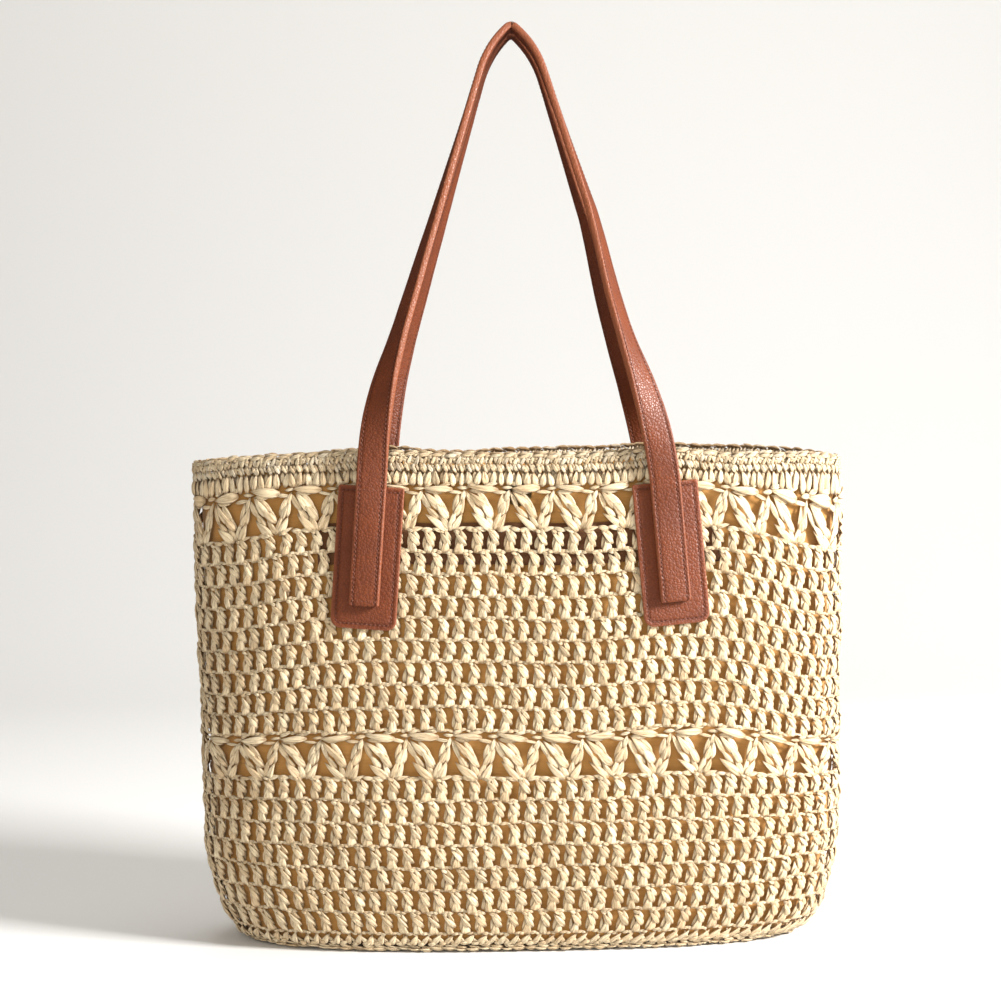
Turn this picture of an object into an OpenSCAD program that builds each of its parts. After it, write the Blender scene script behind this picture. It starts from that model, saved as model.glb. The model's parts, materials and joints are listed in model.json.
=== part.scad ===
// Crocheted straw beach bag: an oval base, a soft round-cornered body worked in bands,
// a fabric lining with a zip pocket and a magnetic snap, and two long leather handles
// whose ends are sewn to leather tabs. +X is the width, -Y the front, +Z up, and the
// origin is on the surface under the middle of the base.

/* [Body] */
// Width of the bag at the rim
rim_w = 398; // [380:2:420]
// Width where the rounded bottom meets the walls
low_w = 390; // [370:2:396]
// Width of the flat base
base_w = 330; // [300:2:340]
// Depth of the bag at its fullest
body_d = 124; // [112:2:136]
// Depth of the mouth
mouth_d = 108; // [100:2:116]
// Depth of the flat base
base_d = 106; // [90:2:110]
// Height of the rim
rim_h = 296; // [286:2:306]
// Height over which the bottom curves up into the walls
corner_h = 75; // [60:1:85]
// Roundness of the plan outline, where 2 is an ellipse
roundness = 2.6; // [2.2:0.1:3.2]

/* [Crochet bands] */
// Thickness of the crocheted straw
straw_t = 4; // [3:0.5:5]
// Top of the ridge round at the base edge
ridge_top = 10; // [8:1:14]
// Top of the lower plain rounds
lower_top = 105; // [98:1:110]
// Top of the lower band of fans
lower_fan_top = 133; // [126:1:138]
// Top of the upper plain rounds
upper_top = 250; // [244:1:254]
// Top of the upper band of fans
upper_fan_top = 274; // [268:1:278]
// Top of the dense rim rounds, where the edge braid starts
rim_rounds_top = 292; // [286:1:293]

/* [Lining] */
// Room between the straw and the lining
lining_gap = 1.6; // [1.4:0.1:2.4]
// Thickness of the lining fabric
lining_t = 1; // [0.8:0.1:1.4]
// Length of the stiffening band behind the straw
band_w = 238; // [220:2:250]
// Bottom of the stiffening band
band_bottom = 230; // [226:1:234]
// Top of the stiffening band
band_top = 254; // [250:1:258]

/* [Handles] */
// Distance between the two feet of a handle
foot_span = 172; // [156:2:180]
// Width of the handle strap
strap_w = 18; // [15:1:20]
// Thickness of the handle strap
strap_t = 4.4; // [3.6:0.2:5]
// Width of a leather tab
tab_w = 39; // [32:1:42]
// Height of a leather tab
tab_h = 84; // [76:1:90]
// Thickness of a leather tab
tab_t = 1.6; // [1.2:0.1:2]
// Height of the top edge of the tabs
tab_top = 277; // [268:1:282]
// Lean of the tabs towards the middle, in degrees
tab_lean = 4.4; // [0:0.2:8]
// Lean of the handle's legs, in degrees
leg_lean = 17.5; // [16:0.1:18]
// Radius of the wide bend below the top of a handle
crown_r = 60; // [40:2:70]
// Lean at which the wide bend ends in the crease at the top, in degrees
crease_lean = 47; // [40:1:55]
// Radius of the crease at the top of a handle
crease_r = 4; // [3.5:0.5:8]

/* [Zip pocket] */
// Length of the zip between its stops
zip_len = 140; // [120:2:140]
// Height of the zip
zip_z = 214; // [206:1:216]
// Width of each half of the zip tape
tape_w = 10; // [8:1:12]
// Depth of the pocket pouch below the zip
pouch_h = 100; // [80:5:110]

/* [Magnetic snap] */
// Diameter of the snap halves
snap_dia = 18; // [14:1:20]
// Height of the snap halves
snap_z = 272; // [266:1:276]

/* [Hidden] */
$fn = 32;

SIDES = 60;              // points round the plan outline
FRONT = -1;
BACK = 1;
LEFT = -1;
RIGHT = 1;
SKIN = 0.2;              // clearance between one layer and the next
SEAM = 0.1;              // gap between two rounds that meet on the rounded bottom
lining_in = straw_t + lining_gap;      // depth of the lining's outer face
inside = lining_in + lining_t;         // depth of the lining's inner face
STRAW = "#dcc9a0";
FABRIC = "#b8853f";
LEATHER = "#8a4a2c";
METAL = "#b59a5a";
TAPE = "#6b4423";

// ---------------------------------------------------------------- the bag's own surface

// Half width, half depth and height of the section that starts at outside height z,
// for a layer that lies "inward" below the outer face.
function section(z, inward) =
    z < corner_h
    ? let (turn = acos(1 - z / corner_h))
      [base_w / 2 + ((low_w - base_w) / 2 - inward) * sin(turn),
       base_d / 2 + ((body_d - base_d) / 2 - inward) * sin(turn),
       inward + (corner_h - inward) * (1 - cos(turn))]
    : let (rise = (z - corner_h) / (rim_h - corner_h))
      [(low_w + (rim_w - low_w) * rise) / 2 - inward,
       (body_d - (body_d - mouth_d) * rise * rise) / 2 - inward,
       z];

// One corner of the plan outline, at an angle round it.
function signed_power(v, p) = sign(v) * pow(abs(v), p);
function outline_point(half_w, half_d, angle) =
    [half_w * signed_power(cos(angle), 2 / roundness),
     half_d * signed_power(sin(angle), 2 / roundness)];
function outline(half_w, half_d) =
    [for (i = [0 : SIDES - 1]) outline_point(half_w, half_d, 360 * i / SIDES)];
function ring(z, inward) =
    let (s = section(z, inward))
    [for (p = outline(s[0], s[1])) [p[0], p[1], s[2]]];

// Distance of the wall from the middle plane, at a place across the bag.
function wall_y(x, z, inward) =
    let (s = section(z, inward))
    s[1] * pow(1 - pow(abs(x) / s[0], roundness), 1 / roundness);

// ---------------------------------------------------------------- solids from rows of points

// Triangles between neighbouring rings of n points each; a closed set joins last to first.
function skin_faces(n, rings, closed) =
    [for (i = [0 : rings - (closed ? 1 : 2)]) for (j = [0 : n - 1])
        let (a = i * n + j, b = i * n + (j + 1) % n, up = (i + 1) % rings * n)
        each [[a, b, up + (j + 1) % n], [a, up + (j + 1) % n, up + j]]];
function flat(lists) = [for (list = lists) each list];

// A hoop of the bag's wall between two heights, in layers below the outer face.
module hoop(heights, outer, inner) {
    top = len(heights) - 1;
    rings = concat(
        [for (i = [0 : top]) ring(heights[i], inner)],
        [for (i = [top : -1 : 0]) ring(heights[i], outer)]);
    polyhedron(points = flat(rings), faces = skin_faces(SIDES, len(rings), true), convexity = 6);
}
function steps(low, high, count) = [for (i = [0 : count]) low + (high - low) * i / count];
// Heights spaced by equal turns of the rounded bottom.
function corner_turn(z) = acos(1 - z / corner_h);
function corner_steps(low, high, count) =
    [for (t = steps(corner_turn(low), corner_turn(high), count)) corner_h * (1 - cos(t))];

// Rings of points joined end to end, with flat ends.
module loft(rings) {
    n = len(rings[0]);
    last = (len(rings) - 1) * n;
    ends = [[for (j = [n - 1 : -1 : 0]) j], [for (j = [0 : n - 1]) last + j]];
    polyhedron(points = flat(rings), faces = concat(skin_faces(n, len(rings), false), ends),
               convexity = 6);
}

// A piece of the wall's own curve between two places across and two heights.
module wall_patch(side, x_range, z_range, outer, inner, across = 6, high = 5) {
    xs = steps(x_range[0], x_range[1], across);
    zs = steps(z_range[0], z_range[1], high);
    rows = [for (x = xs) concat(
        [for (z = zs) [x, wall_y(x, z, inner), z]],
        [for (i = [high : -1 : 0]) [x, wall_y(x, zs[i], outer), zs[i]]])];
    if (side == BACK) loft(rows);
    else mirror([0, 1, 0]) loft(rows);
}

// ---------------------------------------------------------------- crocheted straw

module crochet_base() {
    color(STRAW) linear_extrude(straw_t) polygon(outline(base_w / 2, base_d / 2));
}
module crochet_ridge() {
    color(STRAW) hoop(corner_steps(0, ridge_top, 3), 0, straw_t);
}
module crochet_lower() {
    heights = concat(corner_steps(ridge_top + SEAM, corner_h, 5), [lower_top]);
    color(STRAW) hoop(heights, 0, straw_t);
}
module fan_band_lower() {
    color(STRAW) hoop([lower_top, lower_fan_top], 0, straw_t);
}
module crochet_upper() {
    color(STRAW) hoop(steps(lower_fan_top, upper_top, 3), 0, straw_t);
}
module fan_band_upper() {
    color(STRAW) hoop([upper_top, upper_fan_top], 0, straw_t);
}
module crochet_rim() {
    color(STRAW) hoop([upper_fan_top, rim_rounds_top], 0, straw_t);
}
module rim_braid() {
    color(STRAW) hoop([rim_rounds_top, rim_h], 0, straw_t);
}

// ---------------------------------------------------------------- lining and stiffening bands

LINING_TOP = 288;        // the lining's top hem, below the edge braid
module lining_base() {
    color(FABRIC) translate([0, 0, lining_in])
        linear_extrude(lining_t) polygon(outline(base_w / 2, base_d / 2));
}
module lining_wall() {
    heights = concat(corner_steps(0, corner_h, 7), steps(lower_top, LINING_TOP, 4));
    color(FABRIC) hoop(heights, lining_in, inside);
}
module stiffener(side) {
    wall_patch(side, [-band_w / 2, band_w / 2], [band_bottom, band_top],
               straw_t + SKIN, lining_in - SKIN, across = 14, high = 2);
}
module front_stiffener() {
    color(TAPE) stiffener(FRONT);
}
module back_stiffener() {
    color(TAPE) stiffener(BACK);
}

// ---------------------------------------------------------------- tabs and sewn strap ends

TAB_CORNER = 6;          // radius of a tab's lower corners
END_CORNER = 3;          // radius of a sewn strap end's lower corners
END_BOTTOM = 207;        // where the sewn strap ends stop
FOLD_ROOM = 2;           // length of strap left free on each side of the fold
TRIM = 8;                // how far the trimming prism passes the wall's curve

// Prism through the wall with a level top and rounded lower corners, leaning inwards.
module leaning_prism(side, hand, wide, top, bottom, corner) {
    foot = [hand * foot_span / 2, 0, tab_top];
    translate(foot) rotate([0, hand * -tab_lean, 0]) translate([0, side * body_d / 2, 0])
        rotate([90, 0, 0]) linear_extrude(body_d / 2, center = true) union() {
            translate([-wide / 2, bottom - tab_top + corner])
                square([wide, top - bottom - corner]);
            for (end = [LEFT, RIGHT])
                translate([end * (wide / 2 - corner), bottom - tab_top + corner]) circle(corner);
            translate([corner - wide / 2, bottom - tab_top]) square([wide - 2 * corner, corner]);
        }
}
module sewn_on(side, hand, wide, top, bottom, corner, outer, inner) {
    middle = hand * (foot_span / 2 + (top - bottom) / 2 * tan(tab_lean));
    reach = wide / 2 + TRIM;
    intersection() {
        wall_patch(side, [middle - reach, middle + reach], [bottom - TRIM, top + 1], outer, inner);
        leaning_prism(side, hand, wide, top, bottom, corner);
    }
}
module tab(side, hand) {
    color(LEATHER) sewn_on(side, hand, tab_w, tab_top, tab_top - tab_h, TAB_CORNER,
                           -SKIN - tab_t, -SKIN);
}
module front_left_tab() tab(FRONT, LEFT);
module front_right_tab() tab(FRONT, RIGHT);
module back_left_tab() tab(BACK, LEFT);
module back_right_tab() tab(BACK, RIGHT);

strap_in = 2 * SKIN + tab_t;           // how far a strap's inner face stands off the straw
module strap_end(side, hand) {
    color(LEATHER) sewn_on(side, hand, strap_w, tab_top - FOLD_ROOM, END_BOTTOM, END_CORNER,
                           -strap_in - strap_t, -strap_in);
}
module front_left_strap_end() strap_end(FRONT, LEFT);
module front_right_strap_end() strap_end(FRONT, RIGHT);
module back_left_strap_end() strap_end(BACK, LEFT);
module back_right_strap_end() strap_end(BACK, RIGHT);

// ---------------------------------------------------------------- handles

FOOT_RISE = 18;          // length that leaves the tab at the tab's own lean
BEND_LEN = 56;           // length over which the strap bends to the leg's lean
CROWN_GAP = 0.5;         // half the gap between the two handles where they meet
EASE = 0.15;             // how softly the strap starts to lean over the mouth
TWIST_LEN = 0.34;        // share of the leg over which most of the twist happens
TWIST_FIRST = 55;        // twist reached there, in degrees
LEG_RINGS = 20;          // cross sections along a leg
CROWN_RINGS = 4;         // cross sections along the wide bend
CREASE_RINGS = 3;        // cross sections round half the crease
foot_y = wall_y(foot_span / 2 - strap_w / 2, tab_top, 0) + strap_in + strap_t / 2;
crown_y = strap_w / 2 + CROWN_GAP;

// Front view of one leg: a short straight foot, a wide bend, a straight leg, the crown's
// wide bend and the crease at the very top. Each bend is an arc that turns the strap from
// one lean to the next.
function arc_len(radius, from, to) = radius * (to - from) * PI / 180;
function arc_step(radius, from, to) = radius * [cos(from) - cos(to), sin(to) - sin(from)];
function heading(lean) = [sin(lean), cos(lean)];
bend_r = BEND_LEN / ((leg_lean - tab_lean) * PI / 180);
foot_top = [-foot_span / 2, tab_top] + FOOT_RISE * heading(tab_lean);
bend_top = foot_top + arc_step(bend_r, tab_lean, leg_lean);
crown_step = arc_step(crown_r, leg_lean, crease_lean);
crease_step = arc_step(crease_r, crease_lean, 90);
leg_len = (-bend_top[0] - crown_step[0] - crease_step[0]) / sin(leg_lean);
leg_top = bend_top + leg_len * heading(leg_lean);
crown_len = arc_len(crown_r, leg_lean, crease_lean);
crease_len = arc_len(crease_r, crease_lean, 90);
leg_start = FOOT_RISE + BEND_LEN;
crown_start = leg_start + leg_len;
crease_start = crown_start + crown_len;
half_len = crease_start + crease_len;

// The point a length s along an arc.
function on_arc(start, radius, lean, s) =
    start + arc_step(radius, lean, lean + s / radius * 180 / PI);
// Place in the front view, a length s along the strap from the tab's top edge.
function front_view(s) =
    s < FOOT_RISE ? [-foot_span / 2, tab_top] + s * heading(tab_lean)
    : s < leg_start ? on_arc(foot_top, bend_r, tab_lean, s - FOOT_RISE)
    : s < crown_start ? bend_top + (s - leg_start) * heading(leg_lean)
    : s < crease_start ? on_arc(leg_top, crown_r, leg_lean, s - crown_start)
    : on_arc(leg_top + crown_step, crease_r, crease_lean, s - crease_start);
function ease(u) = (sqrt(u * u + EASE * EASE) - EASE) / (sqrt(1 + EASE * EASE) - EASE);
function depth(s) =
    let (u = max(0, (s - FOOT_RISE) / (half_len - FOOT_RISE)))
    -foot_y + (foot_y - crown_y) * ease(min(1, u));
function spine(s) =
    let (p = front_view(s))
    [p[0], depth(s), p[1]];
function soft_step(u) = u <= 0 ? 0 : u >= 1 ? 1 : u * u * (3 - 2 * u);
function twist(s) =
    let (u = s / half_len)
    TWIST_FIRST * soft_step(u / TWIST_LEN) + (90 - TWIST_FIRST) * soft_step(u);

function unit(v) = v / norm(v);
STRAP_EDGE = 1.2;        // bevel along the strap's edges
strap_outline = [
    for (end = [1, -1]) each [
        [end * strap_w / 2, end * (strap_t / 2 - STRAP_EDGE)],
        [end * (strap_w / 2 - STRAP_EDGE), end * strap_t / 2],
        [end * -(strap_w / 2 - STRAP_EDGE), end * strap_t / 2],
        [end * -strap_w / 2, end * (strap_t / 2 - STRAP_EDGE)]]
];
// The strap's cross section at s, turned with the twist.
function strap_ring(s) =
    let (along = unit(spine(min(s + 1, half_len)) - spine(s - 1)),
         to_front = unit([0, -1, 0] + along[1] * along),
         outward = cross(to_front, along),
         face = cos(twist(s)) * to_front + sin(twist(s)) * outward,
         wide = cross(along, face))
    [for (p = strap_outline) spine(s) + p[0] * wide + p[1] * face];
function mirrored(points) = [for (p = points) [-p[0], p[1], p[2]]];

module handle_strap() {
    places = concat(steps(FOLD_ROOM, crown_start, LEG_RINGS),
                    [for (i = [1 : CROWN_RINGS]) crown_start + crown_len * i / CROWN_RINGS],
                    [for (i = [1 : CREASE_RINGS]) crease_start + crease_len * i / CREASE_RINGS]);
    left = [for (s = places) strap_ring(s)];
    right = [for (i = [len(left) - 2 : -1 : 0]) mirrored(left[i])];
    loft(concat(left, right));
}
module front_strap() {
    color(LEATHER) handle_strap();
}
module back_strap() {
    color(LEATHER) mirror([0, 1, 0]) handle_strap();
}

// ---------------------------------------------------------------- magnetic snap

SNAP_T = 2.4;            // thickness of each half of the snap
STUD_R = 3;              // radius of the stud in the middle of one half
STUD_H = 2;              // how far the stud stands out
PLATE_T = 0.8;           // thickness of the plates behind the lining
wall_tilt = atan2(wall_y(0, snap_z - 5, 0) - wall_y(0, snap_z + 5, 0), 10);

// Stand a disc against the wall at the snap, its top facing into the bag.
module at_snap(side, inward) {
    translate([0, side * wall_y(0, snap_z, inward), snap_z])
        rotate([side * (90 + wall_tilt), 0, 0]) children();
}
module snap_socket() {
    color(METAL) at_snap(FRONT, inside + SKIN) difference() {
        cylinder(h = SNAP_T, d = snap_dia);
        translate([0, 0, SNAP_T - STUD_H]) cylinder(h = STUD_H + 1, r = STUD_R + 0.3);
    }
}
module snap_stud() {
    color(METAL) at_snap(BACK, inside + SKIN) union() {
        cylinder(h = SNAP_T, d = snap_dia);
        translate([0, 0, SNAP_T]) cylinder(h = STUD_H, r = STUD_R);
    }
}
module snap_socket_plate() {
    color(METAL) at_snap(FRONT, straw_t + SKIN) cylinder(h = PLATE_T, d = snap_dia - 2);
}
module snap_stud_plate() {
    color(METAL) at_snap(BACK, straw_t + SKIN) cylinder(h = PLATE_T, d = snap_dia - 2);
}

// ---------------------------------------------------------------- zip pocket

ZIP_T = 0.8;             // thickness of the zip tape
CHAIN_H = 4;             // height of the row of closed teeth
CHAIN_T = 1.4;           // how far the teeth stand off the tape
TOOTH = 1.6;             // length of one tooth
TOOTH_PITCH = 3.5;       // spacing of the teeth
STOP_LEN = 3;            // length of an end stop
PLATE_L = 10;            // length of the slider
LUG_T = 1.4;             // thickness of the slider's lugs
PIN_R = 0.8;             // radius of the puller's pin
PIN_PLAY = 0.08;         // play between the pin and the puller's eye
PULL_L = 22;             // length of the puller below its pin
PULL_W = 5;              // width of the puller
zip_face = wall_y(zip_len / 2, zip_z + tape_w, inside) - SKIN;     // back of the tape
chain_back = zip_face - ZIP_T;
slider_back = chain_back - SKIN;
slider_front = chain_back - CHAIN_T - SKIN - 1;
slider_rest = [zip_len / 2 - STOP_LEN - PLATE_L / 2 - 1, slider_front - 2, zip_z];

module tape(low) {
    translate([-zip_len / 2, chain_back, low]) cube([zip_len, ZIP_T, tape_w]);
}
module zip_tape_upper() {
    color(TAPE) tape(zip_z);
}
module zip_tape_lower() {
    color(TAPE) tape(zip_z - tape_w - SKIN);
}
module zip_teeth() {
    count = floor((zip_len - 2 * STOP_LEN - 2) / TOOTH_PITCH);
    color(METAL) for (i = [0 : count - 1])
        translate([(i - (count - 1) / 2) * TOOTH_PITCH - TOOTH / 2,
                   chain_back - CHAIN_T, zip_z - CHAIN_H / 2])
            cube([TOOTH, CHAIN_T, CHAIN_H]);
}
module zip_stops() {
    color(METAL) for (end = [LEFT, RIGHT])
        translate([end * (zip_len - STOP_LEN) / 2 - STOP_LEN / 2,
                   chain_back - CHAIN_T, zip_z - CHAIN_H / 2 - 0.5])
            cube([STOP_LEN, CHAIN_T, CHAIN_H + 1]);
}
module zip_slider() {
    flange_h = 1.4;
    plate_h = CHAIN_H + 2 * (SKIN + flange_h);
    left = slider_rest[0] - PLATE_L / 2;
    color(METAL) union() {
        translate([left, slider_front, zip_z - plate_h / 2]) difference() {
            cube([PLATE_L, slider_back - slider_front, plate_h]);
            translate([-1, 1, flange_h])
                cube([PLATE_L + 2, slider_back - slider_front, CHAIN_H + 2 * SKIN]);
        }
        for (x = [left, left + PLATE_L - LUG_T])
            translate([x, slider_front - 3, zip_z - 1.5]) cube([LUG_T, 3.2, 3]);
        translate([left, slider_rest[1], zip_z]) rotate([0, 90, 0])
            cylinder(h = PLATE_L, r = PIN_R);
    }
}
module zip_puller() {
    eye_w = PLATE_L - 2 * LUG_T - 0.8;
    color(METAL) difference() {
        union() {
            translate([slider_rest[0] - eye_w / 2, slider_rest[1], zip_z]) rotate([0, 90, 0])
                cylinder(h = eye_w, r = 1.6);
            translate([slider_rest[0] - PULL_W / 2, slider_rest[1] - 1.6, zip_z - PULL_L])
                cube([PULL_W, 1.2, PULL_L]);
        }
        translate([slider_rest[0] - PLATE_L, slider_rest[1], zip_z]) rotate([0, 90, 0])
            cylinder(h = 2 * PLATE_L, r = PIN_R + PIN_PLAY);
        translate([slider_rest[0], slider_rest[1], zip_z - PULL_L + 3]) rotate([90, 0, 0])
            cylinder(h = 10, r = 1.2, center = true);
    }
}
module pocket_pouch() {
    color(FABRIC) wall_patch(BACK, [-zip_len / 2, zip_len / 2], [zip_z - pouch_h, zip_z + tape_w],
                             straw_t + SKIN, lining_in - SKIN, across = 8, high = 4);
}

crochet_base();
crochet_ridge();
crochet_lower();
fan_band_lower();
crochet_upper();
fan_band_upper();
crochet_rim();
rim_braid();
lining_base();
lining_wall();
front_stiffener();
back_stiffener();
front_left_tab();
front_right_tab();
back_left_tab();
back_right_tab();
front_left_strap_end();
front_right_strap_end();
back_left_strap_end();
back_right_strap_end();
front_strap();
back_strap();
snap_socket();
snap_stud();
snap_socket_plate();
snap_stud_plate();
pocket_pouch();
zip_tape_upper();
zip_tape_lower();
zip_teeth();
zip_stops();
zip_slider();
zip_puller();
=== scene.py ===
"""Looks of a crocheted straw beach bag with leather handles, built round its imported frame.

The bag's wall is one guide surface. Every round of crochet is drawn flat as a short recipe
of straw strands, repeated by Geometry Nodes and laid on the guide; the lining, tabs, straps
and stitching follow the same surface. Lengths are in metres, and MM turns millimetres into
metres.
"""

import json
import logging
import math
from dataclasses import dataclass, field
from enum import Enum, IntEnum
from typing import Any, Sequence

import bpy
import numpy as np
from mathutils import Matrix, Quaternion, Vector, noise

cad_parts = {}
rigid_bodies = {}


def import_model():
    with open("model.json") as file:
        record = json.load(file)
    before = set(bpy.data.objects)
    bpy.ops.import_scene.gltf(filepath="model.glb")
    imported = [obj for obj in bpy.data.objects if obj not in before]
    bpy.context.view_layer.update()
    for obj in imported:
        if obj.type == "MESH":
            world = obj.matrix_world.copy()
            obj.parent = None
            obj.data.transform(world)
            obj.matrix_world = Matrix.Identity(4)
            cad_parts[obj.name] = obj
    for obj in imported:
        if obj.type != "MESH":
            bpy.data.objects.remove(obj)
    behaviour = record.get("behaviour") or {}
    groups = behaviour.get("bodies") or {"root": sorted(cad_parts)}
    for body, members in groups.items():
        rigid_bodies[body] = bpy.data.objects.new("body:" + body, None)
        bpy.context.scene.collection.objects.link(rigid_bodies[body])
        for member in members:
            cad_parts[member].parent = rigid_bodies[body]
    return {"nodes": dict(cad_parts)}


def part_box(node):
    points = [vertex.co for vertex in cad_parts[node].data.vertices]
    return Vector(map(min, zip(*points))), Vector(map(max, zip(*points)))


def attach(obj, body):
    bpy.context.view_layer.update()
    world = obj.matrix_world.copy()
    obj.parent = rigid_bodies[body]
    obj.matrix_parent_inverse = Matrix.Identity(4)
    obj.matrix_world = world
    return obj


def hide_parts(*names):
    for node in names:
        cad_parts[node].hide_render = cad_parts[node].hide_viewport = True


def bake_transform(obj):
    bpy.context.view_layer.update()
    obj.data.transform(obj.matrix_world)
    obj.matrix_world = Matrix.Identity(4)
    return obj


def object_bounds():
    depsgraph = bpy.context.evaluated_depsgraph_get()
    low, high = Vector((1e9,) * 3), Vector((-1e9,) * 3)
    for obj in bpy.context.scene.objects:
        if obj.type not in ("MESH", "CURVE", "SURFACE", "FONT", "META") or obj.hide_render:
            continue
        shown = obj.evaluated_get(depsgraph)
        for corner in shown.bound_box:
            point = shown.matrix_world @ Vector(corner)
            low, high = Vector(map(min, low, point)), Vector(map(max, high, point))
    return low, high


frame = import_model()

MM = 0.001
CAD_LOW, CAD_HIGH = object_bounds()
log = logging.getLogger("beach_bag")


class Side(IntEnum):
    """Front or back of the bag, as the sign of Y."""

    FRONT = -1
    BACK = 1


class Hand(IntEnum):
    """Left or right, as the sign of X."""

    LEFT = -1
    RIGHT = 1


class StrandKind(IntEnum):
    """Shapes that a short visible length of straw takes in a stitch."""

    LEAF = 0
    SPINDLE = 1
    WEDGE = 2


class Body(str, Enum):
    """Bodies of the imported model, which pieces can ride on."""

    BAG = "bag"
    FRONT_HANDLE = "front_handle"
    BACK_HANDLE = "back_handle"


# Mesh helpers


def make_object(name: str, points: np.ndarray, faces: Sequence[Sequence[int]],
                edges: Sequence[Sequence[int]] = ()) -> bpy.types.Object:
    """Make a smooth mesh object at the origin and link it to the scene.

    Args:
        name: Name of the object and its mesh.
        points: Vertex positions, in rows of three.
        faces: Vertex numbers of each face.
        edges: Loose edges, for paths that have no faces.

    Returns:
        The new object.
    """
    mesh = bpy.data.meshes.new(name)
    mesh.from_pydata(np.reshape(points, (-1, 3)).tolist(), edges, faces)
    mesh.polygons.foreach_set("use_smooth", [True] * len(mesh.polygons))
    mesh.update()
    made = bpy.data.objects.new(name, mesh)
    bpy.context.collection.objects.link(made)
    return made


def set_attribute(made: bpy.types.Object, name: str, kind: str, values: np.ndarray) -> None:
    """Store one value for each vertex.

    Args:
        made: The mesh object.
        name: Name of the attribute.
        kind: Data type, such as FLOAT or FLOAT_VECTOR.
        values: One value or row for each vertex.
    """
    layer = made.data.attributes.new(name, kind, "POINT")
    key = "vector" if kind == "FLOAT_VECTOR" else "value"
    layer.data.foreach_set(key, np.asarray(values).ravel().tolist())


def set_uv(made: bpy.types.Object, uv: np.ndarray) -> None:
    """Give every face corner the UV of its vertex.

    Args:
        made: The mesh object.
        uv: One row of two numbers for each vertex.
    """
    layer = made.data.uv_layers.new(name="UVMap")
    corners = np.zeros(len(made.data.loops), dtype=np.int64)
    made.data.loops.foreach_get("vertex_index", corners)
    layer.data.foreach_set("uv", uv[corners].ravel().tolist())


def grid_faces(across: int, along: int, closed: bool = False) -> list[tuple[int, ...]]:
    """Quads of a grid of points stored row by row.

    Args:
        across: Points in a row.
        along: Number of rows.
        closed: Whether the last point of a row joins its first.

    Returns:
        The faces, wound counter-clockwise seen from the side where rows run left to right
        and climb.
    """
    faces = []
    for row in range(along - 1):
        for column in range(across if closed else across - 1):
            left = row * across + column
            right = row * across + (column + 1) % across
            faces.append((left, right, right + across, left + across))
    return faces


def flipped(faces: Sequence[Sequence[int]], wanted: bool = True) -> list[tuple[int, ...]]:
    """Wind faces the other way round, if wanted."""
    return [tuple(reversed(f)) if wanted else tuple(f) for f in faces]


def make_sheet(name: str, places: np.ndarray, u: np.ndarray, v: np.ndarray, closed: bool = False,
               flip: bool = False) -> bpy.types.Object:
    """Make a sheet from a grid of points, with a UV for each point.

    Args:
        name: Name of the object.
        places: Points, shaped rows by columns by three.
        u: First number of the UV, shaped rows by columns.
        v: Second number of the UV.
        closed: Whether the rows run all the way round.
        flip: Whether the sheet faces the other way.

    Returns:
        The sheet.
    """
    along, across = places.shape[:2]
    made = make_object(name, places, flipped(grid_faces(across, along, closed), flip))
    set_uv(made, np.stack([u.ravel(), v.ravel()], axis=-1))
    return made


def thicken(made: bpy.types.Object, thickness: float, offset: float = -1.0) -> None:
    """Give a sheet its wall with a Solidify modifier.

    Args:
        made: The sheet.
        thickness: Thickness of the wall.
        offset: Side that the wall grows to, from -1 to 1.
    """
    wall = made.modifiers.new("wall", "SOLIDIFY")
    wall.thickness = thickness
    wall.offset = offset
    wall.use_even_offset = False


def soft_step(value: np.ndarray) -> np.ndarray:
    """Smooth climb from 0 to 1 over the same range.

    Args:
        value: Numbers, clipped to the range 0 to 1.

    Returns:
        The eased numbers.
    """
    t = np.clip(value, 0.0, 1.0)
    return t * t * (3.0 - 2.0 * t)


def unit(vectors: np.ndarray) -> np.ndarray:
    """Scale each row to length one."""
    return vectors / np.maximum(np.linalg.norm(vectors, axis=-1, keepdims=True), 1e-12)


def drift(places: np.ndarray, scale: float, seed: float) -> np.ndarray:
    """Slow smooth noise at places, from about -1 to 1.

    Args:
        places: Positions, one row of three each.
        scale: How fast the noise changes, per metre.
        seed: Shifts the noise so that uses differ.

    Returns:
        One number for each place.
    """
    flat = places.reshape(-1, 3) * scale + seed
    return np.array([noise.noise(Vector(p)) for p in flat]).reshape(places.shape[:-1])


# Node helpers


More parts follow.
